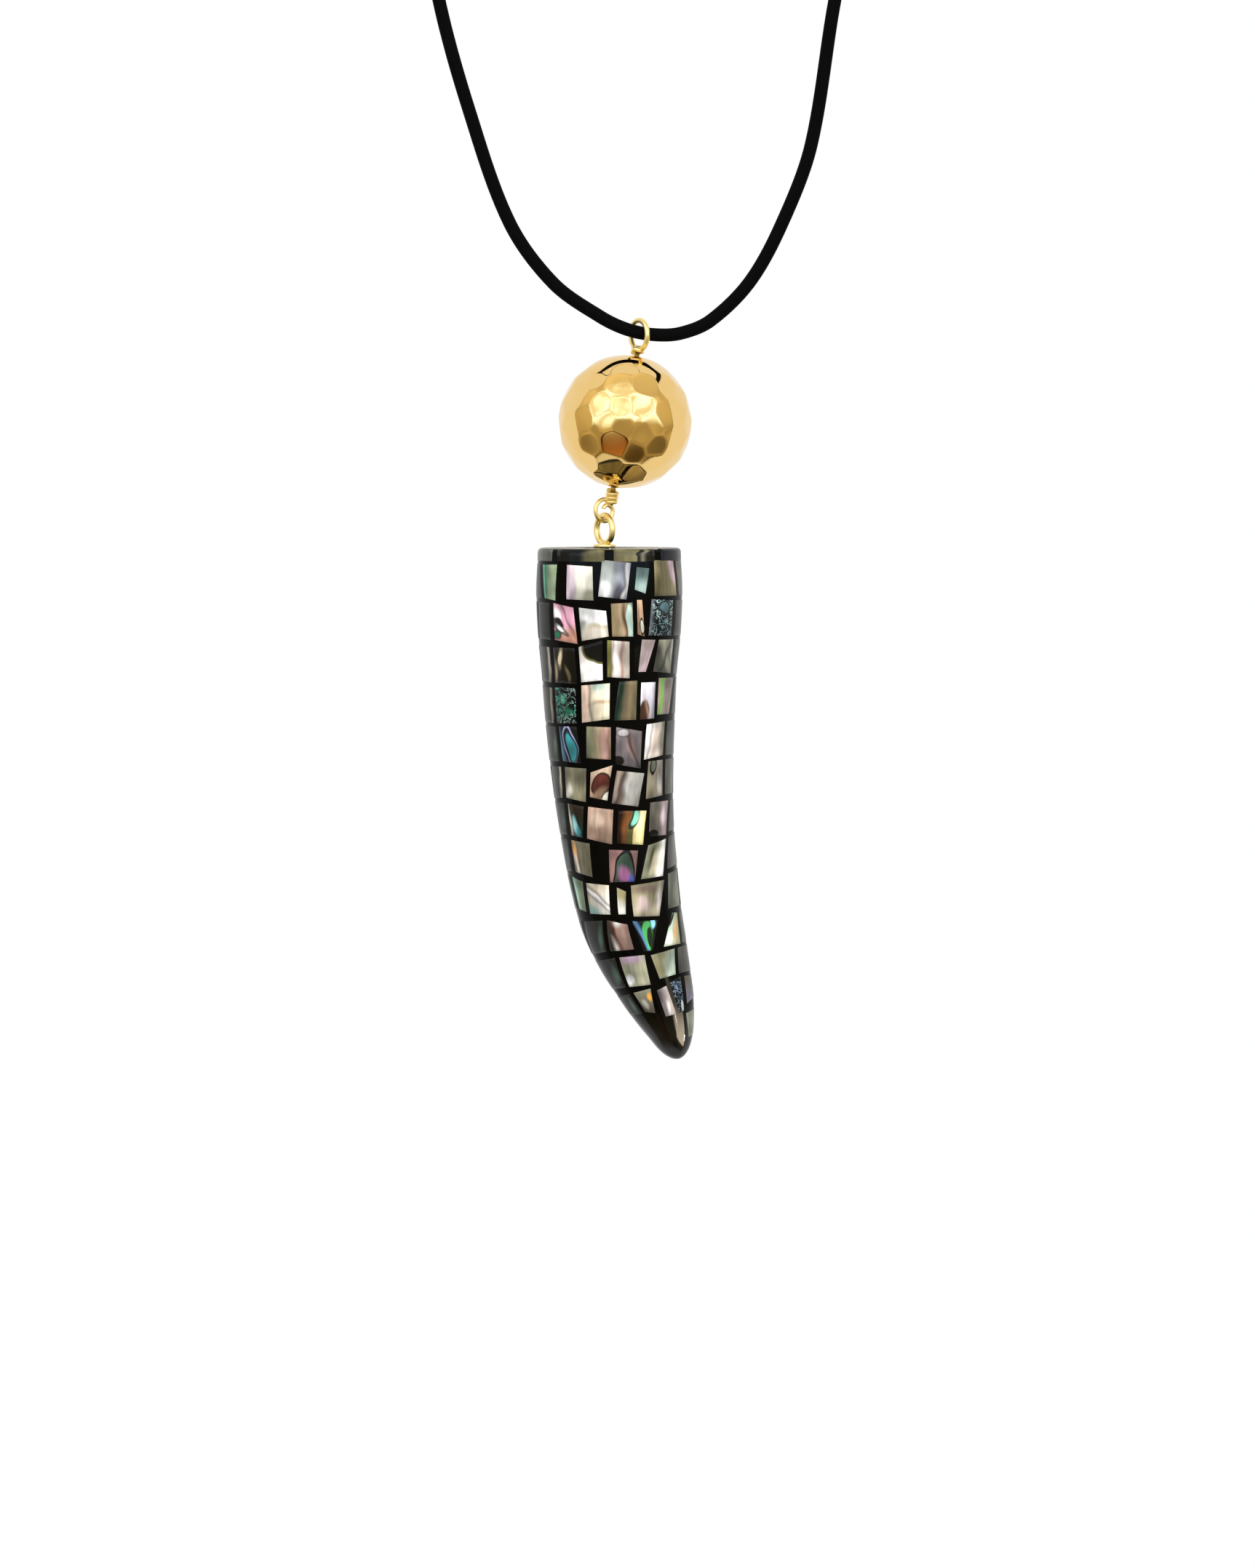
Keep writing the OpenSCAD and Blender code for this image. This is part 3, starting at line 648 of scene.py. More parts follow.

# Cuts for the shell set in the flat top, from the back round the left to the front. Their flat
# tops are painted light, a painted brightening so that the bead mirrors them lighter, and most
# have a darker band where they lap down the side
CROWN = read_cuts("""
a59d80 b3ab90
8f876a a39b7e
a59d80 b3ab90
  7c7d70 0 .6 9 1 0 .01
  5f6058 .6 .6 .5 1
8f876a a39b7e
  121213 0 .6 9 1 0 .01
  77704c .7 .6 .4 .9
a59d80 8f876a
  77704e 0 .6 9 1 0 .01
  14120f .8 .6 .7 1 0 .01
  9a9178 .5 .6 .05 1
a59d80 b3ab90
  151517 0 .6 9 1 0 .01
  2e3136 .5 .5 .3 .8
8f876a a39b7e
  34342f 0 .6 9 1 0 .01
a59d80 8f876a
  161617 0 .6 9 1 0 .01
""")

# No tile has more marks than this. A tile with fewer gets this one, which lies off it
MARKS_A_TILE = 5
NO_MARK = ("000000", 9, 9, 0.1, 0.1, 0, 0)
# Shell further than this from the front, in degrees, is at the back
BACK_FROM = 112


# A tile's corner less deep than this is on the surface
SKIN = 0.2 * MM
# Tiles whose middles lie closer down the horn than this, as a share of it, are in one row
SAME_ROW = 0.03
# Tiles that lap over the rim: share of their rows on the flat top, and how proud they are
ON_TOP = 0.3
LAP_LIFT = 0.05 * MM


def island_outlines(node, horn):
    """The outer outline of each tile of a CAD node: its top and low edges, left to right,
    as lists of share and angle."""
    bm = bmesh.new()
    bm.from_mesh(frame["nodes"][node].data)
    bmesh.ops.remove_doubles(bm, verts=bm.verts, dist=0.001 * MM)
    left = set(bm.verts)
    outlines = []
    while left:
        found, front = set(), [left.pop()]
        while front:
            vert = front.pop()
            found.add(vert)
            left.discard(vert)
            front += [edge.other_vert(vert) for edge in vert.link_edges
                      if edge.other_vert(vert) not in found]
        places = [horn.locate(vert.co) for vert in found]
        outer = sorted(p[:2] for p in places if p[2] < SKIN)
        around = math.atan2(sum(math.sin(p[1]) for p in outer), sum(math.cos(p[1]) for p in outer))
        unwound = [(s, around + math.remainder(a - around, math.tau)) for s, a in outer]
        half = len(unwound) // 2
        outlines.append([sorted(part, key=lambda p: p[1])
                         for part in (unwound[:half], unwound[half:])])
    bm.free()
    return outlines


def rows_of(outlines):
    """Outlines grouped in rows down the horn, each row from left to right."""
    middle = {id(o): sum(s for edge in o for s, _ in edge) / 6 for o in outlines}
    rows = []
    for outline in sorted(outlines, key=lambda o: middle[id(o)]):
        if rows and middle[id(outline)] - middle[id(rows[-1][-1])] < SAME_ROW:
            rows[-1].append(outline)
        else:
            rows.append([outline])
    return [sorted(row, key=lambda o: o[0][1][1]) for row in rows]


def along_edge(edge, u):
    """Point at share u along an edge of three points."""
    i = 0 if u < 0.5 else 1
    part = 2 * u - i
    return [a + (b - a) * part for a, b in zip(edge[i], edge[i + 1])]


def tile_fields(bm):
    """The tiles' own layers, which their material reads."""
    marks = range(MARKS_A_TILE)
    colours = ["shell_base", "shell_shade", "lace_hue", *(f"mark{n}_hue" for n in marks)]
    vectors = ["share", "place", "change", "laced",
               *(f"mark{n}_{part}" for n in marks for part in ("at", "x", "y", "line"))]
    verts = bm.verts.layers
    return {**{name: verts.float_color.new(name) for name in colours},
            **{name: verts.float_vector.new(name) for name in vectors}}


def turned(degrees, size=1.0):
    """Direction at an angle from rightwards, clockwise as the tile is seen."""
    return math.cos(math.radians(degrees)) * size, math.sin(math.radians(degrees)) * size


def add_tile(bm, fields, horn, outline, look, seed, thick):
    """One closed curved plate of shell that fills an outline, with its look written on it."""
    steps = 10
    before = set(bm.verts)
    verts = bmesh.ops.create_grid(bm, x_segments=steps, y_segments=steps, size=1)["verts"]
    top, low = outline
    middle_s = (top[1][0] + low[1][0]) / 2
    edges = [[horn.point(*place) for place in edge] for edge in (top, low)]
    half_w = sum((edge[2] - edge[0]).length for edge in edges) / 4
    half_h = (edges[1][1] - edges[0][1]).length / 2
    rim = -horn.rim / horn.radius
    lift = LAP_LIFT if top[1][0] < rim < 0 < low[1][0] else 0.0
    for vert in verts:
        u, v = vert.co.x, -vert.co.y
        a, b = along_edge(top, (u + 1) / 2), along_edge(low, (u + 1) / 2)
        share = (v + 1) / 2
        s, angle = [p + (q - p) * share for p, q in zip(a, b)]
        if a[0] < rim < 0 < b[0]:
            # Most rows lie on the rounded rim
            s = a[0] + (rim - a[0]) * share / ON_TOP
            if share > ON_TOP:
                past = (b[0] * horn.length + horn.rim) * (share - ON_TOP) / (1 - ON_TOP) - horn.rim
                s = past / (horn.length if past > 0 else horn.radius)
        vert.co = horn.point(s, angle, -lift)
        vert[fields["share"]] = (u, v, -1)
        vert[fields["place"]] = (u * half_w / MM, v * half_h / MM, 13.0 * seed)
        write_look(vert, fields, look)
    faces = {face for vert in verts for face in vert.link_faces}
    border = [edge for edge in {e for vert in verts for e in vert.link_edges}
              if edge.is_boundary]
    skirt = bmesh.ops.extrude_edge_only(bm, edges=border)["geom"]
    inward = horn.point(middle_s, top[1][1], thick) - horn.point(middle_s, top[1][1])
    for item in skirt:
        if isinstance(item, bmesh.types.BMVert):
            item.co += inward.normalized() * thick
    loop = [item for item in skirt if isinstance(item, bmesh.types.BMEdge) and item.is_boundary]
    bmesh.ops.holes_fill(bm, edges=loop)
    bmesh.ops.recalc_face_normals(
        bm, faces=list({face for vert in set(bm.verts) - before for face in vert.link_faces}))
    for face in faces:
        face.smooth = True


def write_look(vert, fields, look):
    """Writes a cut's colours and marks on a vertex of its tile."""
    vert[fields["shell_base"]] = srgb(look["base"])
    vert[fields["shell_shade"]] = srgb(look["shade"])
    vert[fields["lace_hue"]] = srgb(look["lace"])
    vert[fields["laced"]] = (look["laced"], 0, 0)
    vert[fields["change"]] = (*turned(look["lean"], 1 / look["soft"]),
                              look["change"] / look["soft"])
    marks = [*look["marks"], *[NO_MARK] * MARKS_A_TILE][:MARKS_A_TILE]
    for n, (hue, x, y, wide, high, tilt, line) in enumerate(marks):
        vert[fields[f"mark{n}_hue"]] = srgb(hue)
        vert[fields[f"mark{n}_at"]] = (x, y, -1)
        vert[fields[f"mark{n}_x"]] = (*turned(tilt, 1 / wide), 0)
        vert[fields[f"mark{n}_y"]] = (*turned(tilt + 90, 1 / high), 0)
        vert[fields[f"mark{n}_line"]] = (min(wide, high), line, 0.05 if line else 0.2)


def abalone(name):
    """Polished abalone shell under clear resin: satin layers in cream, rose, green and blue,
    with dark growth lines, drops and flecks that each tile carries as its own values. The
    satin sheen and lustre are painted into the colour as lighter and darker streaks and spots."""
    material, nodes, shader = new_material(name)
    ramp, mixed, number, vector = nodes.ramp, nodes.mixed, nodes.number, nodes.vector

    def field(layer, kind="Vector"):
        return nodes.add("Attribute", attribute_name=layer)[kind]

    def parts(layer):
        return nodes.add("SeparateXYZ", {0: field(layer)})

    place = field("place")
    # Layers wander about half a millimetre over three millimetres
    drift = nodes.noise(place, 0.33, 0.5)
    sway = vector("SUBTRACT", drift["Color"], (0.5, 0.5, 0.5))
    bent = vector("ADD", field("share"), vector("MULTIPLY", sway, (0.7, 0.7, 0.0)))
    change = vector("DOT_PRODUCT", bent, field("change"))
    colour = mixed(ramp(change, -1, 1), field("shell_base", "Color"),
                   field("shell_shade", "Color"))
    # A net of thin bright lines, where the cut shows many layers edge on
    net = nodes.noise(place, 0.9, 2.5, 1.2)["Fac"]
    near = number("ABSOLUTE", number("SUBTRACT", net, 0.5))
    pale = mixed(ramp(drift["Fac"], 0.4, 0.65), field("lace_hue", "Color"), srgb("b9d6d2"))
    colour = mixed(number("MULTIPLY", ramp(near, 0.045, 0.012), parts("laced")[0]), colour, pale)
    # Marks: oval patches, some with a dark growth line round them
    for n in range(MARKS_A_TILE):
        off = vector("SUBTRACT", bent, field(f"mark{n}_at"))
        both = nodes.add("CombineXYZ", {i: vector("DOT_PRODUCT", off, field(f"mark{n}_{way}"))
                                        for i, way in enumerate("xy")})[0]
        line = parts(f"mark{n}_line")
        past = number("MULTIPLY", number("SUBTRACT", vector("LENGTH", both), 1.0), line[0])
        inside = ramp(number("DIVIDE", past, line[2]), 1.0, -1.0)
        colour = mixed(inside, colour, field(f"mark{n}_hue", "Color"))
        edge = ramp(number("ABSOLUTE", past), 0.09, 0.03)
        colour = mixed(number("MULTIPLY", edge, line[1]), colour, srgb("14100d"))
    # Silky layers, a few to the millimetre, run up and down. They are partly real grain, which the
    # bump also uses, and partly a painted sheen that lightens and darkens the colour in streaks
    silk_grain_and_sheen = nodes.noise(vector("MULTIPLY", place, (1.5, 0.2, 1.0)), 1.0, 3)["Fac"]
    colour = vector("SCALE", colour, ramp(silk_grain_and_sheen, 0.3, 0.72, 0.8, 1.15))
    # Painted sheen: nacre's lustre is painted in, so the colour is bright in one spot of a tile
    # and dull in another
    cloud = nodes.noise(vector("MULTIPLY", place, (1.0, 0.7, 3.0)), 0.3, 1)["Fac"]
    colour = vector("SCALE", colour, ramp(cloud, 0.32, 0.68, 0.55, 1.3))
    nodes.feed(shader, {"Base Color": colour, "Roughness": 0.34, "Specular IOR Level": 0.08,
                        "Coat Weight": 0.2, "Coat Roughness": 0.06, "Coat IOR": 1.5,
                        "Normal": nodes.bump(silk_grain_and_sheen, 0.15, 0.04)})
    return material


class PENDANT_OT_cord(bpy.types.Operator):
    """Lays the leather cord along its route round the neck"""

    bl_idname = "pendant.cord"
    bl_label = "Cord"

    def execute(self, context):
        sizes = context.scene.pendant_cord
        clasp_low, clasp_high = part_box("clasp")
        half = (clasp_high.x - clasp_low.x) / 2
        ends = [Vector((half - sizes.socket, 0, 0)), Vector((half + sizes.width, 0, 0))]
        flip = Vector((-1, 1, 1))
        route = ends + SIDE + FRONT + [p * flip for p in reversed(ends + SIDE)]
        curve = bpy.data.curves.new("neck_cord_route", "CURVE")
        curve.dimensions = "3D"
        curve.bevel_depth = sizes.width / 2
        curve.bevel_resolution = 6
        curve.resolution_u = 12
        curve.use_fill_caps = True
        spline = curve.splines.new("BEZIER")
        spline.bezier_points.add(len(route) - 1)
        for i, knot in enumerate(spline.bezier_points):
            before, after = route[max(i - 1, 0)], route[min(i + 1, len(route) - 1)]
            back, ahead = (route[i] - before).length, (after - route[i]).length
            slope = (after - before) / (back + ahead)
            knot.handle_left_type = knot.handle_right_type = "FREE"
            knot.co = route[i]
            knot.handle_left = route[i] - slope * back / 3
            knot.handle_right = route[i] + slope * ahead / 3
        source = bpy.data.objects.new("neck_cord_source", curve)
        bm = bmesh.new()
        bm.from_mesh(source.to_mesh())
        bpy.data.objects.remove(source)
        smooth_out(bm)
        finish_piece("leather_cord", bm, "necklace", black_leather(sizes.colour),
                     ["neck_cord"])
        return {"FINISHED"}


def wire_gold(context):
    """The one gold plate that the wire, the eye and the clasp share."""
    made = bpy.data.materials.get("drawn_gold_wire")
    return made or gold_plate("drawn_gold_wire", tuple(context.scene.pendant_wire.colour),
                              0.3, 0.42)


class PENDANT_OT_clasp(bpy.types.Operator):
    """Gives the barrel clasp its gold plate"""

    bl_idname = "pendant.clasp"
    bl_label = "Clasp"

    def execute(self, context):
        clasp = frame["nodes"]["clasp"]
        clasp.data.materials.clear()
        clasp.data.materials.append(wire_gold(context))
        return {"FINISHED"}


def start_wire(bm, place, along, width, sides=20):
    """A round end of wire, ready to be bent: its closed cap and the ring round it."""
    matrix = Matrix.Translation(place) @ along.to_track_quat("Z", "Y").to_matrix().to_4x4()
    made = bmesh.ops.create_circle(bm, cap_ends=True, segments=sides, radius=width / 2,
                                   matrix=matrix)
    return made["verts"] + list({edge for vert in made["verts"] for edge in vert.link_edges})


def bend(bm, ring, centre, axis, angle, steps, climb=0.0):
    """Sweeps a ring of wire round an axis, climbing along it, and gives the last ring."""
    swept = bmesh.ops.spin(bm, geom=ring, cent=centre, axis=axis, angle=angle, steps=steps,
                           dvec=axis.normalized() * (climb / steps), use_merge=False)
    return swept["geom_last"]


def close_wire(bm, ring):
    """Closes the last ring of a wire."""
    bmesh.ops.edgeloop_fill(bm, edges=[e for e in ring if isinstance(e, bmesh.types.BMEdge)])


def straight(bm, ring, move):
    """Draws a ring of wire straight on and gives the last ring."""
    made = bmesh.ops.extrude_edge_only(bm, edges=[e for e in ring
                                                  if isinstance(e, bmesh.types.BMEdge)])["geom"]
    verts = [item for item in made if isinstance(item, bmesh.types.BMVert)]
    bmesh.ops.translate(bm, vec=move, verts=verts)
    edges = [item for item in made if isinstance(item, bmesh.types.BMEdge)
             and all(vert in verts for vert in item.verts)]
    return verts + edges


def smooth_out(bm, flat_ends=True):
    """Points all faces outwards and smooths them. A wire's cut ends stay flat."""
    bmesh.ops.recalc_face_normals(bm, faces=bm.faces)
    for face in bm.faces:
        face.smooth = not flat_ends or len(face.verts) == 4


class WirePlan:
    """Places down the wire, from the bail ring to the curl."""

    def __init__(self, wires, bead):
        self.down = Vector((-math.sin(wires.lean), 0, -math.cos(wires.lean)))
        self.bail_r = (wires.bail - wires.wire) / 2
        cord = bpy.context.scene.pendant_cord.width / 2
        self.ring_at = BAIL_POINT + UP * (cord + wires.gap - self.bail_r + wires.wire / 2)
        self.bead_far = self.bail_r + wires.neck + bead.width / 2
        self.bead_at = self.ring_at + self.down * self.bead_far
        self.wrap_step = wires.wrap * 0.94
        self.wrap_r = (wires.wire + wires.wrap) / 2 - 0.06 * wires.wrap
        self.low_far = self.bead_far + bead.width / 2 + wires.gap + wires.wrap / 2
        self.stem_far = self.low_far + wires.wraps * self.wrap_step + wires.stem
        self.curl_r = (wires.curl - wires.wrap) / 2
        self.curl_at = CURL_LOW + UP * self.curl_r
        self.facing = Vector((math.cos(wires.turn), math.sin(wires.turn), 0))
        self.across = Vector((-math.sin(wires.turn), math.cos(wires.turn), 0))

    def spoke(self, angle):
        """Direction in the curl's plane at an angle clockwise from upwards."""
        return math.sin(angle) * self.facing + math.cos(angle) * UP


# Stretches of the curl: radius as a share of the first one, and degrees it runs
CURL = [(1.0, 228), (0.9, 85), (0.6, 97), (0.42, 74)]


def coil(bm, plan, far, turns, way, width):
    """A coil round the wire that starts a distance down it."""
    start = plan.ring_at + plan.down * far
    out = plan.across.cross(plan.down).normalized()
    ring = start_wire(bm, start + out * plan.wrap_r, plan.down.cross(out), width, 16)
    last = bend(bm, ring, start, plan.down * way, way * math.tau * turns, int(28 * turns),
                climb=turns * plan.wrap_step)
    close_wire(bm, last)


class PENDANT_OT_wire(bpy.types.Operator):
    """Bends the wire: bail ring, wraps, the length through the bead and the curl"""

    bl_idname = "pendant.wire"
    bl_label = "Bead wire"

    def execute(self, context):
        wires, bead = context.scene.pendant_wire, context.scene.pendant_bead
        plan = WirePlan(wires, bead)
        bm = bmesh.new()
        # Bail ring, a closed ring in the plane across the facing direction. It stands off
        # the cord's slope to the right, back and up
        reach = plan.bail_r + wires.slack
        bail_at = plan.ring_at + wires.slack * Vector((0.7, 1, 0.8))
        ring = start_wire(bm, bail_at + plan.down * reach, plan.across, wires.wire)
        close_wire(bm, bend(bm, ring, bail_at, plan.facing, math.tau, 72))
        # The length through the bead
        start = plan.ring_at + plan.down * plan.bail_r
        end = plan.ring_at + plan.down * plan.stem_far
        ring = start_wire(bm, start, plan.down, wires.wire)
        close_wire(bm, straight(bm, ring, end - start))
        above = plan.bead_far - bead.width / 2 - wires.gap - wires.wrap / 2
        coil(bm, plan, above, 1.6, -1, wires.wrap * 1.1)
        coil(bm, plan, plan.low_far, wires.wraps, 1, wires.wrap)
        # The curl leaves the stem, goes round once and winds in on itself
        turned_by, centre, radius = wires.roll, plan.curl_at, plan.curl_r
        ring = start_wire(bm, centre + radius * plan.spoke(turned_by),
                          plan.spoke(turned_by - math.pi / 2), wires.wrap)
        for share, degrees in CURL:
            centre = centre + (radius - share * plan.curl_r) * plan.spoke(turned_by)
            radius = share * plan.curl_r
            ring = bend(bm, ring, centre, plan.across, -math.radians(degrees), degrees // 6)
            turned_by -= math.radians(degrees)
        close_wire(bm, ring)
        smooth_out(bm)
        finish_piece("bail_wire", bm, "bead_drop", wire_gold(context), ["bead_wire"])
        return {"FINISHED"}


# Hammer marks on the bead's front: across and up as shares of its radius, width as a share
# of the radius, and flatness, where 1 is flat and more is hollow
MARKS = [(-0.16, -0.33, 0.38, 0.85), (0.14, -0.45, 0.34, 0.72), (0.46, -0.36, 0.34, 0.85),
         (-0.53, -0.33, 0.34, 0.8), (-0.24, -0.63, 0.40, 1.0), (0.09, -0.78, 0.40, 1.0),
         (0.27, -0.20, 0.32, 0.7), (-0.29, 0.02, 0.28, 0.7), (-0.05, 0.24, 0.30, 1.2),
         (-0.36, 0.27, 0.32, 0.7), (0.26, 0.27, 0.32, 0.7), (0.31, 0.57, 0.38, 0.9),
         (-0.43, 0.63, 0.26, 1.3), (-0.08, 0.56, 0.36, 0.6), (-0.64, 0.03, 0.36, 0.7),
         (-0.33, 0.85, 0.36, 0.15), (0.02, 0.86, 0.36, 0.1), (0.38, 0.80, 0.36, 0.15),
         (-0.12, 0.97, 0.36, 0.1), (0.22, 0.95, 0.36, 0.1), (-0.62, 0.62, 0.34, 0.5),
         (0.60, 0.12, 0.36, 0.7), (-0.03, -0.05, 0.30, 0.7), (0.44, -0.03, 0.30, 0.6),
         (0.40, -0.60, 0.34, 0.8), (-0.55, -0.60, 0.34, 0.8)]


# A mark's edge lies this much further out than half its width
MARK_REACH = 1.15
# Golden angle, which spreads the other marks evenly, and how close, as a share of a mark,
# they come to those on the front
GOLDEN = math.radians(137.508)
CLOSE = 0.75


def flat_depth(sizes, width):
    """Depth under the sphere of a mark of this width that is quite flat."""
    return sizes.width / 4 * (width / 2 * MARK_REACH) ** 2


def hammer_marks(sizes, lean):
    """Hammer marks as direction, width and depth: the front ones, and even ones elsewhere."""
    level = lean.inverted()
    front = []
    for across, up, width, flatness in MARKS:
        way = Vector((across, -math.sqrt(1 - across ** 2 - up ** 2), up))
        front.append((level @ way, width, flatness * flat_depth(sizes, width)))
    count = round(math.pi * (sizes.width / sizes.dent) ** 2 / math.sin(math.radians(60)))
    share = sizes.dent / sizes.width * 2
    spread = []
    for k in range(count):
        up = 1 - (2 * k + 1) / count
        out = math.sqrt(1 - up * up)
        way = Vector((out * math.cos(GOLDEN * k), out * math.sin(GOLDEN * k), up))
        if all((way - other[0]).length > CLOSE * share for other in front):
            spread.append((way, share * 1.1, sizes.flatness * flat_depth(sizes, share)))
    return front + spread


def hammered(way, marks, sizes):
    """Distance of the hammered surface from the bead's middle. The deepest mark wins, and
    the ridge to the next one is softened."""
    total = 1.0
    for mark, width, depth in marks:
        off = (way - mark).length / (width / 2 * MARK_REACH)
        if off < 1.3:
            total += math.exp(depth * (1 - off * off) / sizes.soft)
    return sizes.width / 2 - sizes.soft * math.log(total)


class PENDANT_OT_bead(bpy.types.Operator):
    """Hammers the hollow gold bead"""

    bl_idname = "pendant.bead"
    bl_label = "Hammered bead"

    def execute(self, context):
        wires, sizes = context.scene.pendant_wire, context.scene.pendant_bead
        plan = WirePlan(wires, sizes)
        lean = Matrix.Rotation(wires.lean, 3, "Y")
        marks = hammer_marks(sizes, lean)
        bm = bmesh.new()
        bmesh.ops.create_uvsphere(bm, u_segments=192, v_segments=120, radius=1)
        opening = sizes.hole / sizes.width
        poles = [v for v in bm.verts if math.hypot(v.co.x, v.co.y) < opening]
        bmesh.ops.delete(bm, geom=poles, context="VERTS")
        for vert in bm.verts:
            way = vert.co.normalized()
            vert.co = way * hammered(way, marks, sizes)
        bmesh.ops.recalc_face_normals(bm, faces=bm.faces)
        bmesh.ops.solidify(bm, geom=bm.faces[:], thickness=sizes.wall)
        bmesh.ops.transform(bm, matrix=Matrix.Translation(plan.bead_at) @ lean.to_4x4(),
                            verts=bm.verts)
        smooth_out(bm, flat_ends=False)
        plate = gold_plate("hammered_gold_plate", tuple(sizes.colour), 0.03, 0.08)
        finish_piece("gold_bead", bm, "bead_drop", plate, ["hammered_bead"])
        return {"FINISHED"}


def turned_disc(bm, foot, z, low_r, top_r, height, rounding):
    """A turned disc or cone with rounded edges that stands at a height."""
    made = bmesh.ops.create_cone(bm, cap_ends=True, segments=48, radius1=low_r,
                                 radius2=top_r, depth=height,
                                 matrix=Matrix.Translation(foot + UP * (z + height / 2)))
    rims = [e for e in {e for v in made["verts"] for e in v.link_edges}
            if abs(e.verts[0].co.z - e.verts[1].co.z) < height / 10]
    bmesh.ops.bevel(bm, geom=rims, offset=rounding, affect="EDGES", segments=3,
                    profile=0.5, material=-1)


class PENDANT_OT_eye(bpy.types.Operator):
    """Bends the ring on the horn and solders it to its collar"""

    bl_idname = "pendant.eye"
    bl_label = "Horn eye"

    def execute(self, context):
        wires, bead = context.scene.pendant_wire, context.scene.pendant_bead
        plan = WirePlan(wires, bead)
        low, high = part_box("horn_eye")
        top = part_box("horn_body")[1].z
        eye_r = (wires.eye - wires.eye_wire) / 2
        centre = Vector((CURL_LOW.x, CURL_LOW.y, high.z - wires.eye / 2))
        bm = bmesh.new()
        ring = start_wire(bm, centre - UP * eye_r, plan.across, wires.eye_wire, 24)
        close_wire(bm, bend(bm, ring, centre, plan.facing, math.tau, 80))
        # A collar, the solder that tapers up from it to the ring, and the pin in the resin
        foot = Vector((centre.x, centre.y, 0))
        collar_r, pin_r = wires.collar / 2, wires.pin / 2
        bottom = top + wires.gap
        height = centre.z - wires.eye / 2 + 0.3 * MM - bottom
        turned_disc(bm, foot, bottom, collar_r, collar_r, height, 0.15 * MM)
        turned_disc(bm, foot, bottom + height * 0.9, collar_r * 0.62, collar_r * 0.36,
                  0.42 * MM, 0.12 * MM)
        turned_disc(bm, foot, low.z, pin_r, pin_r, bottom - low.z, 0.1 * MM)
        smooth_out(bm)
        finish_piece("eye_ring", bm, "horn_drop", wire_gold(context), ["horn_eye"])
        return {"FINISHED"}


class PENDANT_OT_resin(bpy.types.Operator):
    """Casts the black resin horn"""

    bl_idname = "pendant.resin"
    bl_label = "Resin horn"

    def execute(self, context):
        sizes = context.scene.pendant_horn
        horn = HornSurface(sizes)
        bm = bmesh.new()
        rim_in, rim_down = sizes.rim / horn.radius, sizes.rim / horn.length
        shares = ([-1, -0.7, -0.4, -0.2]
                  + [-rim_in * (1 - k / 5) for k in range(5)]
                  + [rim_down * k / 5 for k in range(5)]
                  + [rim_down + (0.9 - rim_down) * k / 130 for k in range(130)]
                  + [0.9 + 0.1 * math.sin(k / 24 * math.pi / 2) for k in range(25)])
        rows = len(shares) - 1
        made = bmesh.ops.create_grid(bm, x_segments=128, y_segments=rows, size=1)
        for vert in made["verts"]:
            share = shares[round((1 - vert.co.y) / 2 * rows)]
            vert.co = horn.point(share, vert.co.x * math.pi, sizes.proud)
        bmesh.ops.remove_doubles(bm, verts=bm.verts, dist=0.002 * MM)
        smooth_out(bm, flat_ends=False)
        finish_piece("resin_horn", bm, "horn_drop", black_resin(), ["horn_body"])
        return {"FINISHED"}


class PENDANT_OT_shell(bpy.types.Operator):
    """Cuts the shell tiles and sets them round the horn and in its flat top"""

    bl_idname = "pendant.shell"
    bl_label = "Shell mosaic"

    def execute(self, context):
        sizes = context.scene.pendant_horn
        horn = HornSurface(sizes)
        pick = random.Random(7)
        material = abalone("polished_abalone_shell")
        bm = bmesh.new()
        fields = tile_fields(bm)
        rows = rows_of(island_outlines("shell_tiles", horn))
        blocks = CHART.strip().split("\n\n")
        if len(rows) != len(blocks):
            raise RuntimeError(f"the chart has {len(blocks)} rows and the horn {len(rows)}")
        for row, block in zip(rows, blocks):
            start, cuts = block.split("\n", 1)
            charted = iter(read_cuts(cuts))
            for outline in row:
                middle = math.degrees(outline[0][1][1])
                # Tiles round the sides get the dark cuts, which are painted shade
                spare = pick.choice(SHADED_SIDE_CUTS[:3] if middle < 0 else SHADED_SIDE_CUTS[3:])
                if abs(middle) > BACK_FROM:
                    spare = pick.choice(PLAIN)
                look = next(charted, spare) if middle > float(start) else spare
                add_tile(bm, fields, horn, outline, look, pick.random(), sizes.shell)
        finish_piece("abalone_tiles", bm, "horn_drop", material, ["shell_tiles"])
        bm = bmesh.new()
        fields = tile_fields(bm)
        # Crown shell laps over the rounded rim
        lap = sizes.lap / sizes.length
        crown = sorted(island_outlines("crown_tiles", horn), key=lambda o: o[0][1][1])
        for (top, low), look in zip(crown, CROWN * 2):
            low = [(lap, angle) for _, angle in low]
            add_tile(bm, fields, horn, (top, low), look, pick.random(), sizes.shell)
        finish_piece("crown_shell", bm, "horn_drop", material, ["crown_tiles"])
        return {"FINISHED"}


# Middle of the picture, just left of the bail and below the horn's top
PICTURE_AT = BAIL_POINT + Vector((-1.9 * MM, 0, -67.5 * MM))
LAMP_COLOUR = (1.0, 0.84, 0.62)
# Lamps that the polished tip mirrors: name, direction, width and height in metres, and
# power in watts
LAMPS = [("warm card", (0.76, -0.40, -0.46), (0.50, 0.42), 8.0),
         ("window", (0.87, -0.12, -0.48), (0.03, 0.09), 1.0),
         ("strip", (0.69, -0.58, -0.44), (0.015, 0.12), 0.7)]
# Floor: radius, how far its middle lies in front, and where it fades out and is solid
FLOOR = (0.8, 0.06, 0.38, 0.2)
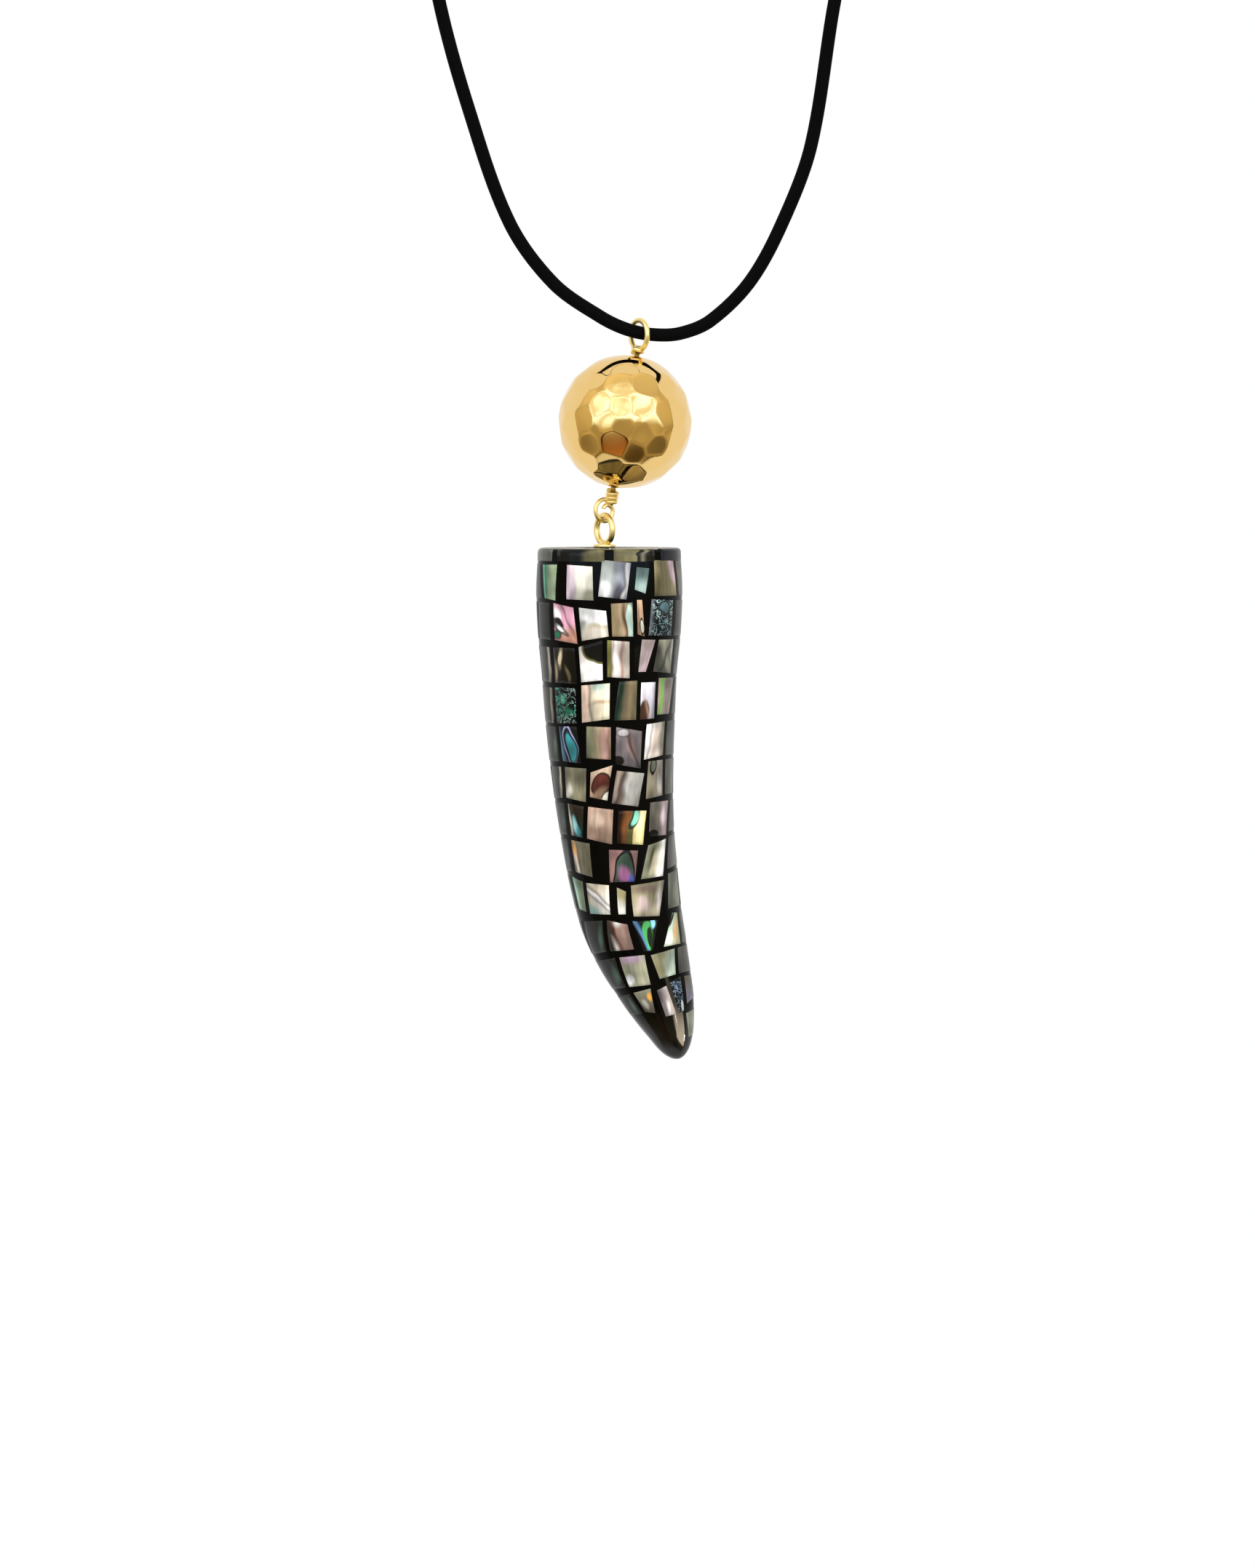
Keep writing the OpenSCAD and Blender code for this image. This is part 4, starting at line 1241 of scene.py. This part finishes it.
# Things in the room that the bead's lower marks mirror: direction, cosine of reach, colour
ROOM_THINGS = [((-0.36, -0.14, -0.92), 0.94, "8a7a48"), ((0.11, -0.30, -0.95), 0.97, "7a6a3c"),
               ((-0.30, -0.73, -0.61), 0.955, "5c3a1c"), ((-0.25, -0.65, -0.72), 0.990, "b9814e"),
               ((-0.33, -0.80, -0.51), 0.9985, "f4e2c0"), ((0.27, -0.50, -0.83), 0.993, "4d3d26"),
               ((-0.85, -0.18, -0.50), 0.9985, "3a3020"), ((0.77, -0.28, -0.58), 0.9985, "4a3c28")]


def stand(scene, name, data, place, way):
    """Puts a camera or a lamp at a place, facing a way."""
    shown = bpy.data.objects.new(name, data)
    shown.location = place
    shown.rotation_mode = "QUATERNION"
    shown.rotation_quaternion = way.to_track_quat("-Z", "Y")
    scene.collection.objects.link(shown)
    return shown


def hang_lamp(scene, name, off, size, power, lit):
    """A soft rectangular light that faces the pendant and lights some pieces only."""
    lamp = bpy.data.lights.new(name, "AREA")
    lamp.shape = "RECTANGLE"
    lamp.size, lamp.size_y = size
    lamp.energy = power
    lamp.color = LAMP_COLOUR
    shown = stand(scene, name, lamp, PICTURE_AT + off, -off)
    shown.visible_camera = False
    shown.light_linking.receiver_collection = lit


def lay_floor(scene, height):
    """A round pale floor that fades into the white of the room."""
    radius, ahead, clear, solid = FLOOR
    bm = bmesh.new()
    bmesh.ops.create_circle(bm, cap_ends=True, segments=96, radius=radius,
                            matrix=Matrix.Translation((0, -ahead, height)))
    mesh = bpy.data.meshes.new("floor")
    bm.to_mesh(mesh)
    bm.free()
    material, nodes, shader = new_material("pale_paper")
    flat = nodes.vector("MULTIPLY_ADD", nodes.add("TexCoord")["Object"], (1, 1, 0),
                        (0, ahead, 0))
    nodes.feed(shader, {"Base Color": srgb("f4f3f1"), "Roughness": 0.9,
                        "Specular IOR Level": 0.1,
                        "Alpha": nodes.ramp(nodes.vector("LENGTH", flat), clear, solid)})
    mesh.materials.append(material)
    floor = bpy.data.objects.new("floor", mesh)
    scene.collection.objects.link(floor)
    floor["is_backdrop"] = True


def light_room(scene):
    """Room light. The camera sees white paper. Polished pieces mirror white paper behind
    them and, in front, a warm room with a bright panel. Matt pieces get light that
    comes mostly from the front."""
    world = bpy.data.worlds.new("studio")
    world.use_nodes = True
    scene.world = world
    nodes = Nodes(world.node_tree)
    ramp, mixed, number = nodes.ramp, nodes.mixed, nodes.number
    ray = nodes.add("TexCoord")["Generated"]
    way = nodes.add("SeparateXYZ", {0: ray})

    def lit(colour, strength):
        return nodes.vector("SCALE", colour, strength)

    def towards(direction):
        return nodes.vector("DOT_PRODUCT", ray, Vector(direction).normalized())

    # The room is dim near its floor and lighter towards its ceiling
    room = mixed(ramp(way[2], -0.95, -0.35), srgb("8a7a54"), srgb("c4b58c"))
    room = mixed(ramp(way[2], -0.2, 0.9), room, srgb("efe4c4"))
    room = lit(room, ramp(nodes.noise(ray, 2.2, 1)["Fac"], 0.35, 0.65, 0.8, 1.2))
    for direction, reach, code in ROOM_THINGS:
        room = mixed(ramp(towards(direction), reach - 0.012, reach + 0.012), room, srgb(code))
    # The panel of light hangs in front above the pendant's height, and is uneven
    uneven = nodes.noise(ray, 3.5, 2, 1.0)["Fac"]
    panel = mixed(ramp(uneven, 0.38, 0.62), (1.1, 1.15, 1.15, 1), (2.0, 2.6, 3.3, 1))
    ahead = number("MULTIPLY", way[1], -1)
    hung = number("MULTIPLY", ramp(ahead, 0.30, 0.46), ramp(way[2], -0.08, 0.10))
    front = mixed(hung, room, panel)
    # A dark gap between the room and the paper shows here and there
    gap = ramp(number("ABSOLUTE", ahead), 0.004, 0.014, 0.4, 1.0)
    gap = number("MAXIMUM", gap, ramp(uneven, 0.6, 0.45))
    mirrored = mixed(ramp(ahead, -0.012, -0.03), lit(front, gap), srgb("fbfbfa"))
    # Light for matt pieces
    soft = ramp(towards((0.0, -0.9, 0.42)), 0.0, 1.0, 0.4, 1.95)
    paths = nodes.add("LightPath")
    seen = mixed(paths["Is Glossy Ray"], lit((1.0, 1.0, 1.0), soft), mirrored)
    seen = mixed(paths["Is Camera Ray"], seen, srgb("ffffff"))
    nodes.feed(world.node_tree.nodes["Background"], {"Color": seen, "Strength": 1.0})


class PENDANT_OT_stage(bpy.types.Operator):
    """Sets the camera, the floor and the soft light"""

    bl_idname = "pendant.stage"
    bl_label = "Stage"

    def execute(self, context):
        scene, sizes = context.scene, context.scene.pendant_stage
        scene.view_settings.view_transform = "Standard"
        back = Vector((0, -math.cos(sizes.above), math.sin(sizes.above)))
        lens = bpy.data.cameras.new("camera")
        lens.sensor_width = 36
        lens.lens = lens.sensor_width * sizes.distance / sizes.height
        scene.camera = stand(scene, "camera", lens, PICTURE_AT + back * sizes.distance, -back)
        polished = bpy.data.collections.new("polished_resin")
        polished.objects.link(bpy.data.objects["resin_horn"])
        for name, way, size, power in LAMPS:
            hang_lamp(scene, name, sizes.aside * Vector(way), size, power, polished)
        lay_floor(scene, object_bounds()[0].z - sizes.floor)
        light_room(scene)
        return {"FINISHED"}


class PENDANT_PT_panel(bpy.types.Panel):
    """Lists the pieces of the pendant"""

    bl_idname = "PENDANT_PT_panel"
    bl_label = "Horn pendant"
    bl_space_type = "VIEW_3D"
    bl_region_type = "UI"
    bl_category = "Pendant"

    def draw(self, context):
        for operator in OPERATORS:
            self.layout.operator(operator.bl_idname)
        for group in GROUPS:
            box = self.layout.box()
            box.label(text=group)
            settings = getattr(context.scene, group)
            for name in settings.bl_rna.properties.keys():
                if name not in ("rna_type", "name"):
                    box.prop(settings, name)


OPERATORS = [PENDANT_OT_cord, PENDANT_OT_clasp, PENDANT_OT_wire, PENDANT_OT_bead,
             PENDANT_OT_eye, PENDANT_OT_resin, PENDANT_OT_shell, PENDANT_OT_stage]
GROUPS = {"pendant_cord": CordSettings, "pendant_wire": WireSettings,
          "pendant_bead": BeadSettings, "pendant_horn": HornSettings,
          "pendant_stage": StageSettings}


def register():
    for group, settings in GROUPS.items():
        bpy.utils.register_class(settings)
        setattr(bpy.types.Scene, group, PointerProperty(type=settings))
    for shown in [*OPERATORS, PENDANT_PT_panel]:
        bpy.utils.register_class(shown)


def unregister():
    for shown in [PENDANT_PT_panel, *reversed(OPERATORS)]:
        bpy.utils.unregister_class(shown)
    for group, settings in GROUPS.items():
        delattr(bpy.types.Scene, group)
        bpy.utils.unregister_class(settings)


def main():
    register()
    for operator in OPERATORS:
        group, name = operator.bl_idname.split(".")
        getattr(getattr(bpy.ops, group), name)()


if __name__ == "__main__":
    main()
